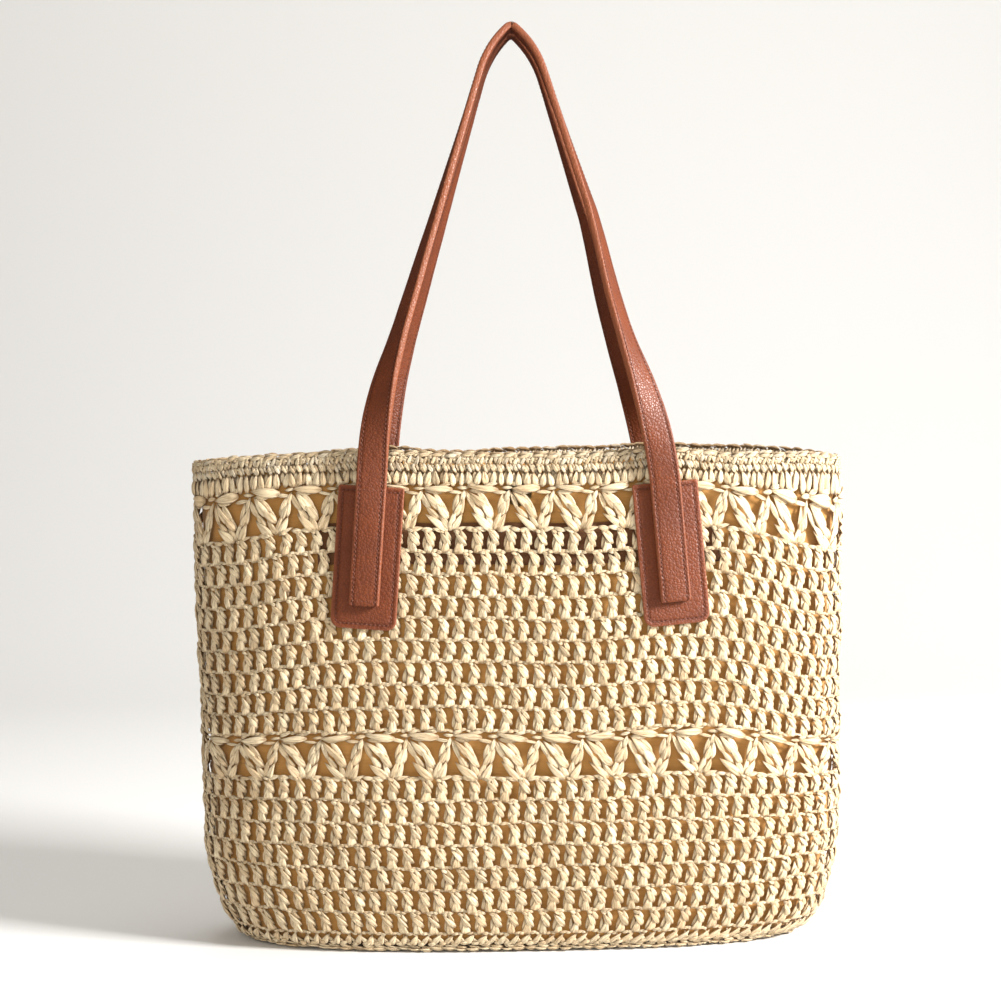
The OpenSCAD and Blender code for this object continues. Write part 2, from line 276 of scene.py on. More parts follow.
@dataclass
class Graph:
    """Short way to add nodes to a shader or geometry tree and wire them up."""

    tree: bpy.types.NodeTree
    _count: int = 0

    def add(self, kind: str, inputs: dict | None = None, **settings: Any) -> bpy.types.Node:
        """Add one node.

        Args:
            kind: Blender's name of the node type.
            inputs: Value or output socket for each input, by name or number.
            settings: Properties of the node, set before its inputs.

        Returns:
            The new node.
        """
        made = self.tree.nodes.new(kind)
        self._count += 1
        made.location = (200 * (self._count % 12), -200 * (self._count // 12))
        for name, value in settings.items():
            setattr(made, name, value)
        for key, value in (inputs or {}).items():
            self.feed(made, key, value)
        return made

    def feed(self, made: bpy.types.Node, key: str | int, value: Any) -> None:
        """Set an input, or join an output socket to it.

        Args:
            made: The node.
            key: Name or number of the input.
            value: A value, or an output socket.
        """
        if isinstance(key, int):
            socket = made.inputs[key]
        else:
            socket = next(s for s in made.inputs if s.name == key and s.enabled)
        if isinstance(value, bpy.types.NodeSocket):
            self.tree.links.new(value, socket)
        elif socket.type == "RGBA":
            socket.default_value = (*value, 1.0)
        else:
            socket.default_value = value

    def out(self, kind: str, inputs: dict | None = None, **settings: Any) -> bpy.types.NodeSocket:
        """Add one node and return the first output that is in use."""
        return next(s for s in self.add(kind, inputs, **settings).outputs if s.enabled)

    def math(self, operation: str, *values: Any) -> bpy.types.NodeSocket:
        """Add a Math node and return its output."""
        return self.out("ShaderNodeMath", dict(enumerate(values)), operation=operation)

    def vector(self, operation: str, *values: Any) -> bpy.types.NodeSocket:
        """Add a Vector Math node and return its output."""
        return self.out("ShaderNodeVectorMath", dict(enumerate(values)), operation=operation)

    def combine(self, *values: Any) -> bpy.types.NodeSocket:
        """Add a Combine XYZ node and return its output."""
        return self.out("ShaderNodeCombineXYZ", dict(enumerate(values)))

    def split(self, vector: Any) -> Any:
        """Add a Separate XYZ node and return its three outputs."""
        return self.add("ShaderNodeSeparateXYZ", {0: vector}).outputs

    def ranged(self, value: Any, low: float, high: float, to_low: float = 0.0, to_high: float = 1.0,
               smooth: bool = False) -> bpy.types.NodeSocket:
        """Add a clamped Map Range node and return its output."""
        return self.out("ShaderNodeMapRange", {0: value, 1: low, 2: high, 3: to_low, 4: to_high},
                        interpolation_type="SMOOTHSTEP" if smooth else "LINEAR")

    def mix(self, factor: Any, first: Any, second: Any) -> bpy.types.NodeSocket:
        """Add a colour Mix node and return its output."""
        return self.out("ShaderNodeMix", {"Factor": factor, "A": first, "B": second}, data_type="RGBA")

    def noise(self, vector: Any, scale: Any, detail: float = 3.0, roughness: float = 0.5,
              output: str = "Fac") -> bpy.types.NodeSocket:
        """Add a Noise Texture and return its factor, or its colour."""
        inputs = {"Vector": vector, "Scale": scale, "Detail": detail, "Roughness": roughness}
        return self.add("ShaderNodeTexNoise", inputs).outputs[output]

    def bump(self, height: Any, strength: float, distance: float) -> bpy.types.NodeSocket:
        """Add a Bump node and return its normal."""
        return self.out("ShaderNodeBump", {"Height": height, "Strength": strength, "Distance": distance})

    def uv(self) -> bpy.types.NodeSocket:
        """Read the piece's own UV."""
        return self.out("ShaderNodeUVMap", uv_map="UVMap")

    def place(self) -> bpy.types.NodeSocket:
        """Read the place on the piece, in metres."""
        return self.add("ShaderNodeTexCoord").outputs["Object"]

    def random(self, low: Any, high: Any, seed: Any, data_type: str = "FLOAT") -> bpy.types.NodeSocket:
        """Add a Random Value node and return its output."""
        inputs = {"Min": low, "Max": high, "Seed": seed}
        return self.out("FunctionNodeRandomValue", inputs, data_type=data_type)

    def named(self, name: str, data_type: str = "FLOAT") -> bpy.types.NodeSocket:
        """Read an attribute of the geometry by its name."""
        return self.out("GeometryNodeInputNamedAttribute", {"Name": name}, data_type=data_type)


def make_group(name: str, inputs: dict[str, tuple[str, Any]], outputs: dict[str, str],
               kind: str = "ShaderNodeTree") -> tuple[Graph, Any, bpy.types.Node]:
    """Start a node group with named inputs and outputs.

    Args:
        name: Name of the group.
        inputs: Socket type and default value of each input.
        outputs: Socket type of each output.
        kind: Type of the tree.

    Returns:
        The graph, the sockets that give its inputs, and its output node.
    """
    tree = bpy.data.node_groups.new(name, kind)
    for socket_name, (socket_type, default) in inputs.items():
        socket = tree.interface.new_socket(socket_name, in_out="INPUT", socket_type=socket_type)
        if default is not None:
            socket.default_value = default
    for socket_name, socket_type in outputs.items():
        tree.interface.new_socket(socket_name, in_out="OUTPUT", socket_type=socket_type)
    graph = Graph(tree)
    return graph, graph.add("NodeGroupInput").outputs, graph.add("NodeGroupOutput")


# Shader groups shared by several finishes

FLOAT = "NodeSocketFloat"
VECTOR = "NodeSocketVector"


class ShaderGroups:
    """Groups that put out masks and heights, each built once and placed in many materials."""

    def __init__(self) -> None:
        """Build the groups."""
        self.fibres = self._fibres()
        self.pebble = self._pebble()
        self.weave = self._weave()
        self.patches = self._patches()

    def _fibres(self) -> bpy.types.NodeTree:
        """Fine lines along a strand, in the strand's own UV."""
        graph, given, sink = make_group(
            "fibres", {"Lines": (FLOAT, 14.0), "Shift": (FLOAT, 0.0)},
            {"Height": FLOAT, "Streak": FLOAT})
        parts = graph.split(graph.uv())
        place = graph.combine(graph.math("MULTIPLY", parts[0], given["Lines"]),
                              graph.math("MULTIPLY", parts[1], 1.6),
                              graph.math("MULTIPLY", given["Shift"], 37.0))
        fine = graph.noise(place, 1.0, 3.0, 0.65)
        broad = graph.noise(graph.vector("MULTIPLY", place, (0.28, 1.3, 1.0)), 1.0, 2.0, 0.5)
        height = graph.math("ADD", graph.math("MULTIPLY", fine, 0.6), graph.math("MULTIPLY", broad, 0.7))
        graph.feed(sink, "Height", height)
        graph.feed(sink, "Streak", graph.ranged(fine, 0.34, 0.52))
        return graph.tree

    def _pebble(self) -> bpy.types.NodeTree:
        """Small rounded grains with creases between them."""
        graph, given, sink = make_group(
            "pebble_grain", {"Scale": (FLOAT, 1000.0), "Crease": (FLOAT, 0.5)},
            {"Height": FLOAT, "Valley": FLOAT})
        place = graph.place()
        bend = graph.noise(place, 160.0, 2.0, output="Color")
        bent = graph.vector("MULTIPLY_ADD", bend, (0.0016, 0.0016, 0.0016), place)
        cells, borders = (
            graph.add("ShaderNodeTexVoronoi", {"Vector": bent, "Scale": given["Scale"], "Randomness": 1.0},
                      feature=feature).outputs["Distance"]
            for feature in ("F1", "DISTANCE_TO_EDGE"))
        dome = graph.math("SUBTRACT", 1.0, cells)
        valley = graph.ranged(borders, 0.0, 0.16, 1.0, 0.0, smooth=True)
        long_crease = graph.ranged(graph.noise(bent, 260.0, 3.0, 0.6), 0.46, 0.5)
        fold = graph.math("MULTIPLY", long_crease, given["Crease"])
        height = graph.math("ADD", graph.math("SUBTRACT", dome, graph.math("MULTIPLY", valley, 0.5)), fold)
        graph.feed(sink, "Height", height)
        graph.feed(sink, "Valley", valley)
        return graph.tree

    def _weave(self) -> bpy.types.NodeTree:
        """Plain weave of warp and weft threads, in the piece's own UV in metres."""
        graph, given, sink = make_group(
            "plain_weave", {"Threads": (FLOAT, 1600.0)}, {"Height": FLOAT, "Thread": FLOAT})
        uv = graph.uv()
        wobble = graph.noise(uv, 500.0, 2.0, output="Color")
        parts = graph.split(graph.vector("MULTIPLY_ADD", wobble, (0.0003, 0.0003, 0.0), uv))
        turns = graph.math("MULTIPLY", given["Threads"], math.pi)
        warp, weft = (graph.math("SINE", graph.math("MULTIPLY", parts[axis], turns)) for axis in (0, 1))
        over = graph.math("MULTIPLY", warp, weft)
        height = graph.math("MAXIMUM", graph.math("ABSOLUTE", warp), graph.math("ABSOLUTE", weft))
        slub = graph.noise(graph.vector("MULTIPLY", uv, (1.0, 14.0, 1.0)), 90.0, 2.0)
        graph.feed(sink, "Height", graph.math("MULTIPLY_ADD", over, 0.35, height))
        graph.feed(sink, "Thread", graph.math("MULTIPLY_ADD", over, 0.25, slub))
        return graph.tree

    def _patches(self) -> bpy.types.NodeTree:
        """Broad uneven patches, for handling marks, dust and dye that took unevenly."""
        graph, given, sink = make_group("patches", {"Scale": (FLOAT, 30.0)}, {"Mask": FLOAT})
        spread = graph.noise(graph.place(), given["Scale"], 4.0, 0.6)
        graph.feed(sink, "Mask", graph.ranged(spread, 0.35, 0.65, smooth=True))
        return graph.tree


@dataclass
class Finish:
    """A material being built: its graph, its Principled shader and the shared groups."""

    name: str
    groups: ShaderGroups
    graph: Graph = field(init=False)
    shader: bpy.types.Node = field(init=False)
    material: bpy.types.Material = field(init=False)

    def __post_init__(self) -> None:
        """Start an empty material with one Principled shader."""
        self.material = bpy.data.materials.new(self.name)
        self.material.use_nodes = True
        self.material.node_tree.nodes.clear()
        self.graph = Graph(self.material.node_tree)
        self.shader = self.graph.add("ShaderNodeBsdfPrincipled")
        self.graph.add("ShaderNodeOutputMaterial", {"Surface": self.shader.outputs[0]})

    def group(self, tree: bpy.types.NodeTree, **values: Any) -> bpy.types.Node:
        """Place a shared group, with its input values by name."""
        made = self.graph.add("ShaderNodeGroup", node_tree=tree)
        for key, value in values.items():
            self.graph.feed(made, key, value)
        return made

    def attribute(self, name: str) -> bpy.types.NodeSocket:
        """Read a number stored on the piece's vertices."""
        return self.graph.add("ShaderNodeAttribute", attribute_name=name).outputs["Fac"]

    def patchy(self, scale: float, share: float) -> bpy.types.NodeSocket:
        """Mask of broad patches, from 0 to a share."""
        mask = self.group(self.groups.patches, Scale=scale).outputs["Mask"]
        return self.graph.math("MULTIPLY", mask, share)

    def set(self, **values: Any) -> bpy.types.Material:
        """Set the shader's sockets, with underscores for the spaces in their names.

        Args:
            values: A value or an output socket for each of the shader's sockets.

        Returns:
            The finished material.
        """
        for key, value in values.items():
            self.graph.feed(self.shader, key.replace("_", " "), value)
        return self.material


@dataclass(frozen=True)
class StrawFinish:
    """Natural paper straw: creamy, with lengthwise fibres and painted shade on low strands and strand sides.
    """

    light: tuple = (0.86, 0.71, 0.47)
    middle: tuple = (0.76, 0.57, 0.34)
    # Brown of fibre streaks and patches, and also the painted shade of low strands and strand sides.
    brown_and_shade: tuple = (0.27, 0.145, 0.05)
    # Grey on the straw for the clear sewing thread: its painted glint.
    grey: tuple = (0.74, 0.64, 0.48)

    def build(self, groups: ShaderGroups) -> bpy.types.Material:
        """Make the material."""
        look = Finish("straw", groups)
        graph = look.graph
        tone = look.attribute("tone")
        fibres = look.group(groups.fibres, Lines=13.0, Shift=tone).outputs
        body = graph.mix(graph.ranged(tone, 0.0, 0.85), self.middle, self.light)
        streaked = graph.mix(graph.ranged(fibres["Streak"], 0.0, 1.0, 0.62, 0.0), body, self.brown_and_shade)
        aged = graph.mix(look.patchy(18.0, 0.12), streaked, self.brown_and_shade)
        # Painted shade: strands lying low, and each strand's sides and underside (rim), mix towards the dark
        # colour.
        low_strand_shade = graph.ranged(look.attribute("lift"), -2.6 * MM, 0.4 * MM, 0.75, 0.0, smooth=True)
        edge = graph.ranged(look.attribute("rim"), 0.35, 1.0, 0.0, 0.62, smooth=True)
        shade_painted = graph.mix(graph.math("MAXIMUM", low_strand_shade, edge), aged, self.brown_and_shade)
        return look.set(
            Base_Color=graph.mix(graph.math("MULTIPLY", look.attribute("grey"), 0.6), shade_painted, self.grey),
            Roughness=graph.ranged(fibres["Streak"], 0.0, 1.0, 0.62, 0.44),
            Specular_IOR_Level=0.45,
            Sheen_Weight=0.12,
            Sheen_Roughness=0.45,
            Normal=graph.bump(fibres["Height"], 1.0, 0.0012),
        )


@dataclass(frozen=True)
class LeatherFinish:
    """Pebbled leather with lighter edges (edge paint and painted light) and a dark stitch channel."""

    base: tuple = (0.195, 0.046, 0.014)
    dark: tuple = (0.095, 0.020, 0.006)
    lit_edge_paint: tuple = (0.320, 0.100, 0.042)
    grain: float = 560.0

    def build(self, groups: ShaderGroups) -> bpy.types.Material:
        """Make the material."""
        look = Finish("leather", groups)
        graph = look.graph
        grain = look.group(groups.pebble, Scale=self.grain, Crease=0.35).outputs
        mottled = graph.mix(look.patchy(42.0, 0.35), self.base, self.dark)
        creased = graph.mix(graph.math("MULTIPLY", grain["Valley"], 0.35), mottled, self.dark)
        # Lighter edges: the leather's edge paint, and also painted light caught along the edges.
        edge = graph.ranged(look.attribute("inset"), 0.2 * MM, 1.3 * MM, 1.0, 0.0, smooth=True)
        edge_paint_and_light = graph.mix(graph.math("MULTIPLY", edge, 0.55), creased, self.lit_edge_paint)
        channel = graph.math("MULTIPLY", look.attribute("channel"), 0.8)
        rough = graph.ranged(grain["Valley"], 0.0, 1.0, 0.40, 0.62)
        return look.set(
            Base_Color=graph.mix(channel, edge_paint_and_light, self.dark),
            Roughness=graph.math("ADD", look.patchy(42.0, 0.07), rough),
            Specular_IOR_Level=0.5,
            Normal=graph.bump(grain["Height"], 0.4, 0.0006),
        )


@dataclass(frozen=True)
class ClothFinish:
    """Plain woven cloth, matte, with uneven threads."""

    name: str
    base: tuple
    shade: tuple
    threads: float = 1500.0

    def build(self, groups: ShaderGroups) -> bpy.types.Material:
        """Make the material."""
        look = Finish(self.name, groups)
        graph = look.graph
        weave = look.group(groups.weave, Threads=self.threads).outputs
        threads = graph.mix(graph.ranged(weave["Thread"], 0.2, 0.9, 0.0, 0.7), self.base, self.shade)
        return look.set(
            Base_Color=graph.mix(look.patchy(25.0, 0.25), threads, self.shade),
            Roughness=graph.ranged(weave["Height"], 0.0, 1.0, 0.95, 0.8),
            Specular_IOR_Level=0.2,
            Sheen_Weight=0.15,
            Sheen_Roughness=0.6,
            Normal=graph.bump(weave["Height"], 0.35, 0.00025),
        )


@dataclass(frozen=True)
class ThreadFinish:
    """Waxed sewing thread: twisted plies along each stitch."""

    base: tuple = (0.230, 0.078, 0.044)
    shade: tuple = (0.080, 0.022, 0.012)

    def build(self, groups: ShaderGroups) -> bpy.types.Material:
        """Make the material."""
        look = Finish("thread", groups)
        graph = look.graph
        parts = graph.split(graph.uv())
        around = graph.math("MULTIPLY", parts[0], 2.0 * math.pi)
        ply = graph.math("SINE", graph.math("MULTIPLY_ADD", parts[1], 34.0, around))
        fuzz = graph.noise(graph.place(), 2500.0, 2.0)
        return look.set(
            Base_Color=graph.mix(graph.ranged(ply, -1.0, 0.6), self.shade, self.base),
            Roughness=graph.ranged(fuzz, 0.3, 0.7, 0.45, 0.7),
            Specular_IOR_Level=0.4,
            Normal=graph.bump(ply, 0.5, 0.00012),
        )


@dataclass(frozen=True)
class MetalFinish:
    """Antique brass, brushed on its faces and darker where it tarnished."""

    base: tuple = (0.52, 0.38, 0.18)
    tarnish: tuple = (0.20, 0.13, 0.06)

    def build(self, groups: ShaderGroups) -> bpy.types.Material:
        """Make the material."""
        look = Finish("antique_brass", groups)
        graph = look.graph
        brushed = graph.noise(graph.vector("MULTIPLY", graph.place(), (1.0, 1.0, 12.0)), 600.0, 3.0)
        return look.set(
            Base_Color=graph.mix(look.patchy(160.0, 0.6), self.base, self.tarnish),
            Metallic=0.95,
            Roughness=graph.ranged(brushed, 0.3, 0.7, 0.26, 0.46),
            Normal=graph.bump(brushed, 0.2, 0.00008),
        )


@dataclass(frozen=True)
class FloorFinish:
    """Pale matt floor."""

    base: tuple = (0.83, 0.82, 0.80)

    def build(self, groups: ShaderGroups) -> bpy.types.Material:
        """Make the material."""
        return Finish("pale_floor", groups).set(
            Base_Color=self.base, Roughness=0.85, Specular_IOR_Level=0.2)


# The bag's own surface


@dataclass(frozen=True)
class HandleShape:
    """Path of a strap, with s measured along it from a tab's top edge.

    The front view is a short straight foot, a wide bend, a straight leg, a wide bend at the
    crown and a crease at the very top. Angles are leans from the vertical, in degrees.
    """

    foot_span: float = 172 * MM
    strap_w: float = 18 * MM
    strap_t: float = 4.4 * MM
    tab_w: float = 39 * MM
    tab_h: float = 84 * MM
    tab_t: float = 1.6 * MM
    tab_top: float = 277 * MM
    end_bottom: float = 207 * MM
    skin: float = 0.2 * MM
    tab_lean: float = 4.4
    leg_lean: float = 17.5
    crown_r: float = 60 * MM
    crease_lean: float = 47.0
    crease_r: float = 4 * MM
    foot_rise: float = 18 * MM
    bend_len: float = 56 * MM
    crown_gap: float = 0.5 * MM
    easing: float = 0.15
    twist_len: float = 0.34
    twist_first: float = 55.0

    @property
    def stand_off(self) -> float:
        """Distance from the straw to the strap's inner face."""
        return 2 * self.skin + self.tab_t

    @staticmethod
    def _arc(radius: float, lean: float, to: float) -> np.ndarray:
        """Step across and up along an arc that turns from one lean to another."""
        a, b = math.radians(lean), math.radians(to)
        return radius * np.array([math.cos(a) - math.cos(b), math.sin(b) - math.sin(a)])

    @staticmethod
    def _heading(lean: float) -> np.ndarray:
        """Unit step across and up at a lean."""
        return np.array([math.sin(math.radians(lean)), math.cos(math.radians(lean))])

    @property
    def _runs(self) -> list[tuple[float, float, float]]:
        """Length, radius and first lean of each run from the foot up; a radius of 0 is straight.

        The straight leg is as long as it must be to bring the crown to the middle.
        """
        foot_r = self.bend_len / math.radians(self.leg_lean - self.tab_lean)
        bends = ((foot_r, self.tab_lean, self.leg_lean), (self.crown_r, self.leg_lean, self.crease_lean),
                 (self.crease_r, self.crease_lean, 90.0))
        reach = self.foot_span / 2 - self.foot_rise * self._heading(self.tab_lean)[0]
        reach -= sum(self._arc(*bend)[0] for bend in bends)
        leg = reach / math.sin(math.radians(self.leg_lean))
        first, *others = [(radius * math.radians(to - lean), radius, lean) for radius, lean, to in bends]
        return [(self.foot_rise, 0.0, self.tab_lean), first, (leg, 0.0, self.leg_lean), *others]

    @property
    def half_len(self) -> float:
        """Length from a tab's top edge to the middle of the crown."""
        return sum(length for length, _, _ in self._runs)

    def front_view(self, s: float) -> np.ndarray:
        """Place of the left leg across and up, a length s along the strap."""
        place = np.array([-self.foot_span / 2, self.tab_top])
        runs = self._runs
        for number, (length, radius, lean) in enumerate(runs):
            part = s if number == len(runs) - 1 else min(s, length)
            if radius == 0.0:
                place = place + part * self._heading(lean)
            else:
                place = place + self._arc(radius, lean, lean + math.degrees(part / radius))
            s -= part
            if s <= 0:
                break
        return place

    def twist(self, s: float) -> float:
        """Turn of the strap about its own line, in degrees."""
        share = np.clip(s / self.half_len, 0.0, 1.0)
        early = float(soft_step(np.array(share / self.twist_len)))
        return self.twist_first * early + (90.0 - self.twist_first) * float(soft_step(np.array(share)))


@dataclass(frozen=True)
class BagShape:
    """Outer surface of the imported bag.

    Attributes:
        rim_half_w: Half the width at the rim.
        base_half: Half the width and half the depth of the flat base.
        belly_half_d: Half the depth at the fullest.
        height: Height of the rim.
        low_half_w: Half the width where the rounded bottom meets the walls.
        mouth_half_d: Half the depth of the mouth.
        corner_h: Height over which the bottom curves up.
        roundness: Power of the plan outline, where 2 is an ellipse.
    """

    rim_half_w: float
    base_half: tuple[float, float]
    belly_half_d: float
    height: float
    low_half_w: float = 195 * MM
    mouth_half_d: float = 54 * MM
    corner_h: float = 75 * MM
    roundness: float = 2.6

    @classmethod
    def from_frame(cls) -> "BagShape":
        """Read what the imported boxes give."""
        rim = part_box("rim_braid")[1]
        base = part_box("crochet_base")[1]
        return cls(rim.x, (base.x, base.y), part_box("crochet_lower")[1].y, rim.z)

    def section(self, height: np.ndarray, inward: float) -> tuple[np.ndarray, np.ndarray, np.ndarray]:
        """Half width, half depth and level of the section that starts at an outside height.

        Args:
            height: Heights on the outer face.
            inward: Depth below the outer face.

        Returns:
            Three arrays shaped like height.
        """
        height = np.asarray(height, dtype=float)
        turn = np.arccos(np.clip(1 - height / self.corner_h, -1, 1))
        rise = (height - self.corner_h) / (self.height - self.corner_h)
        low = height < self.corner_h
        base_w, base_d = self.base_half
        low_w = base_w + (self.low_half_w - base_w - inward) * np.sin(turn)
        low_d = base_d + (self.belly_half_d - base_d - inward) * np.sin(turn)
        high_w = self.low_half_w + (self.rim_half_w - self.low_half_w) * rise - inward
        high_d = self.belly_half_d - (self.belly_half_d - self.mouth_half_d) * rise**2 - inward
        level = inward + (self.corner_h - inward) * (1 - np.cos(turn))
        return (np.where(low, low_w, high_w), np.where(low, low_d, high_d),
                np.where(low, level, height))

    def wall_y(self, x: np.ndarray, z: np.ndarray, inward: float) -> np.ndarray:
        """Distance of the wall from the middle plane, at a place across and up."""
        half_w, half_d, _ = self.section(z, inward)
        inside = np.clip(1 - (np.abs(x) / half_w) ** self.roundness, 0, 1)
        return half_d * inside ** (1 / self.roundness)

    def hoop(self, half_w: float, half_d: float, turns: np.ndarray) -> np.ndarray:
        """Points round the plan outline at even steps of its length.

        Args:
            half_w: Half the width.
            half_d: Half the depth.
            turns: Shares of the way round from the middle of the back, by way of the left.

        Returns:
            One row of x and y for each share.
        """
        angle = np.linspace(0.5 * np.pi, 2.5 * np.pi, 1441)
        power = 2 / self.roundness
        x = half_w * np.sign(np.cos(angle)) * np.abs(np.cos(angle)) ** power
        y = half_d * np.sign(np.sin(angle)) * np.abs(np.sin(angle)) ** power
        lengths = np.concatenate([[0], np.cumsum(np.hypot(np.diff(x), np.diff(y)))])
        wanted = turns * lengths[-1]
        return np.stack([np.interp(wanted, lengths, x), np.interp(wanted, lengths, y)], axis=-1)

    def around(self, height: float, inward: float) -> float:
        """Length of the way round at a height."""
        half_w, half_d, _ = self.section(np.array(height), inward)
        ring = self.hoop(float(half_w), float(half_d), np.linspace(0, 1, 400))
        return float(np.hypot(*np.diff(ring, axis=0).T).sum())


@dataclass(frozen=True)
class WearShape:
    """How far a used, soft bag leaves its designed shape.

    Attributes:
        side_droop: Drop of the rim at both ends.
        right_droop: Drop of the right end and lift of the left.
        back_lift: Height of the back rim over the front.
        strap_pull: Lift of the wall above a tab.
        row_wave: Rise and fall of the rounds.
        wall_wave: Bulges of the wall.
        tab_press: Depth that a tab sinks in.
        right_sag: Sag of the rounds beside the right tab.
        left_sag: The same on the left.
        right_leg_bow: Inward bend of the strap's right leg.
        right_leg_reach: Length of the part that bends.
    """

    side_droop: float = 4.5 * MM
    right_droop: float = 1.0 * MM
    back_lift: float = 3 * MM
    strap_pull: float = 2.5 * MM
    row_wave: float = 1.6 * MM
    wall_wave: float = 1.4 * MM
    tab_press: float = 0.9 * MM
    right_sag: float = 13 * MM
    left_sag: float = 6.5 * MM
    right_leg_bow: float = 5.4 * MM
    right_leg_reach: float = 170 * MM


class Wall:
    """Places on the bag's wall, for every layer that follows it."""

    COLUMNS = 240
    STEP = 3 * MM
    BELOW = 46 * MM
    ABOVE = 8 * MM
    STRAW_DEPTH = 1.5 * MM

    def __init__(self, shape: BagShape, handle: HandleShape, wear: WearShape) -> None:
        """Measure the wall's profile at the middle of the front.

        Args:
            shape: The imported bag's surface.
            handle: Where tabs press on it.
            wear: How far it has slumped.
        """
        self.shape = shape
        self.handle = handle
        self.wear = wear
        turns = np.linspace(0, np.pi / 2, 200)
        low = shape.corner_h * (1 - np.cos(turns))
        high = np.linspace(shape.corner_h, shape.height + self.ABOVE, 400)[1:]
        self._heights = np.concatenate([low, high])
        _, depth, level = shape.section(self._heights, 0.0)
        steps = np.hypot(np.diff(depth), np.diff(level))
        self._lengths = np.concatenate([[0], np.cumsum(steps)])

    def length_at(self, height: float) -> float:
        """Length along the front from the edge of the base up to a height."""
        return float(np.interp(height, self._heights, self._lengths))

    def tab_distance(self, places: np.ndarray) -> np.ndarray:
        """Distance from places to the nearest tab's outline, seen from the front or back."""
        lean = math.radians(self.handle.tab_lean)
        x = np.abs(places[..., 0]) - self.handle.foot_span / 2
        down = self.handle.tab_top - places[..., 2]
        across = x * math.cos(lean) - down * math.sin(lean)
        below = x * math.sin(lean) + down * math.cos(lean)
        dx = np.maximum(np.abs(across) - self.handle.tab_w / 2, 0)
        dy = np.maximum(np.maximum(below - self.handle.tab_h, -below), 0)
        return np.hypot(dx, dy)

    def settle(self, places: np.ndarray) -> np.ndarray:
        """Slump, waves and pull of a used bag.

        Args:
            places: Points on the designed wall.

        Returns:
            The moved points.
        """
        moved = places.copy()
        wear = self.wear
        x, z = places[..., 0], places[..., 2]
        half_w, half_d, _ = self.shape.section(np.maximum(z, 0), 0.0)
        share = x / half_w
        up = soft_step((z - 60 * MM) / (220 * MM))
        away = soft_step(self.tab_distance(places) / (26 * MM))
        moved[..., 2] -= wear.side_droop * np.abs(share) ** 5 * up
        moved[..., 2] -= wear.right_droop * share * up
        moved[..., 2] += wear.back_lift * soft_step(places[..., 1] / (50 * MM)) * (0.5 + 0.5 * share) * up**3
        beside = soft_step((np.abs(share) - 0.58) / 0.36) * soft_step((285 * MM - z) / (20 * MM))
        beside = beside * soft_step((z - 50 * MM) / (120 * MM)) * soft_step(-places[..., 1] / (22 * MM))
        moved[..., 2] -= np.where(share > 0, wear.right_sag, wear.left_sag) * beside
        pull = np.exp(-((np.abs(x) - self.handle.foot_span / 2) / (24 * MM)) ** 2)
        moved[..., 2] += wear.strap_pull * pull * up
        lifted = soft_step((z - 8 * MM) / (40 * MM))
        moved[..., 2] += wear.row_wave * drift(places, 14.0, 3.1) * lifted * away
        out = unit(np.stack([share / half_w, places[..., 1] / half_d**2, np.zeros_like(x)], axis=-1))
        bulge = wear.wall_wave * (drift(places, 22.0, 7.7) + 0.5 * drift(places, 60.0, 1.3))
        moved += out * (bulge * lifted * away)[..., None]
        return moved

    def press(self, places: np.ndarray) -> np.ndarray:
        """Push the straw in under the leather tabs."""
        near = 1 - soft_step(self.tab_distance(places) / (5 * MM))
        pressed = places.copy()
        pressed[..., 1] -= np.sign(places[..., 1]) * near * self.wear.tab_press
        return pressed

    def rows(self, lengths: np.ndarray, turns: np.ndarray, inward: float) -> np.ndarray:
        """Points of the wall by length up the front and share of the way round.

        Args:
            lengths: Lengths from the base's edge; negative ones lie under the base.
            turns: Shares of the way round.
            inward: Depth below the outer face.

        Returns:
            Points, shaped rows by turns by three.
        """
        places = np.zeros((len(lengths), len(turns), 3))
        for row, length in enumerate(lengths):
            if length < 0:
                half_w = self.shape.base_half[0] + length
                half_d = self.shape.base_half[1] + length
                level = inward
            else:
                height = np.interp(length, self._lengths, self._heights)
                half_w, half_d, level = (float(v) for v in self.shape.section(height, inward))
            places[row, :, :2] = self.shape.hoop(half_w, half_d, turns)
            places[row, :, 2] = level
        return places

    def guide(self) -> bpy.types.Object:
        """Make the surface that crochet is laid on, with UV in turns and metres of height.

        Returns:
            The guide, with its outward direction stored on its vertices.
        """
        top = self.length_at(self.shape.height + self.ABOVE)
        count = int((top + self.BELOW) / self.STEP) + 1
        lengths = np.linspace(-self.BELOW, top, count)
        turns = np.linspace(0, 1, self.COLUMNS + 1)
        places = self.press(self.settle(self.rows(lengths, turns, self.STRAW_DEPTH)))
        places[:, -1] = places[:, 0]
        ringed = np.concatenate([places[:, -2:-1], places, places[:, 1:2]], axis=1)
        along = np.gradient(places, axis=0)
        outward = unit(np.cross(ringed[:, 2:] - ringed[:, :-2], along))
        guide = make_sheet("guide", places, *np.meshgrid(turns, lengths))
        set_attribute(guide, "outward", "FLOAT_VECTOR", outward)
        return guide


# Strands of straw


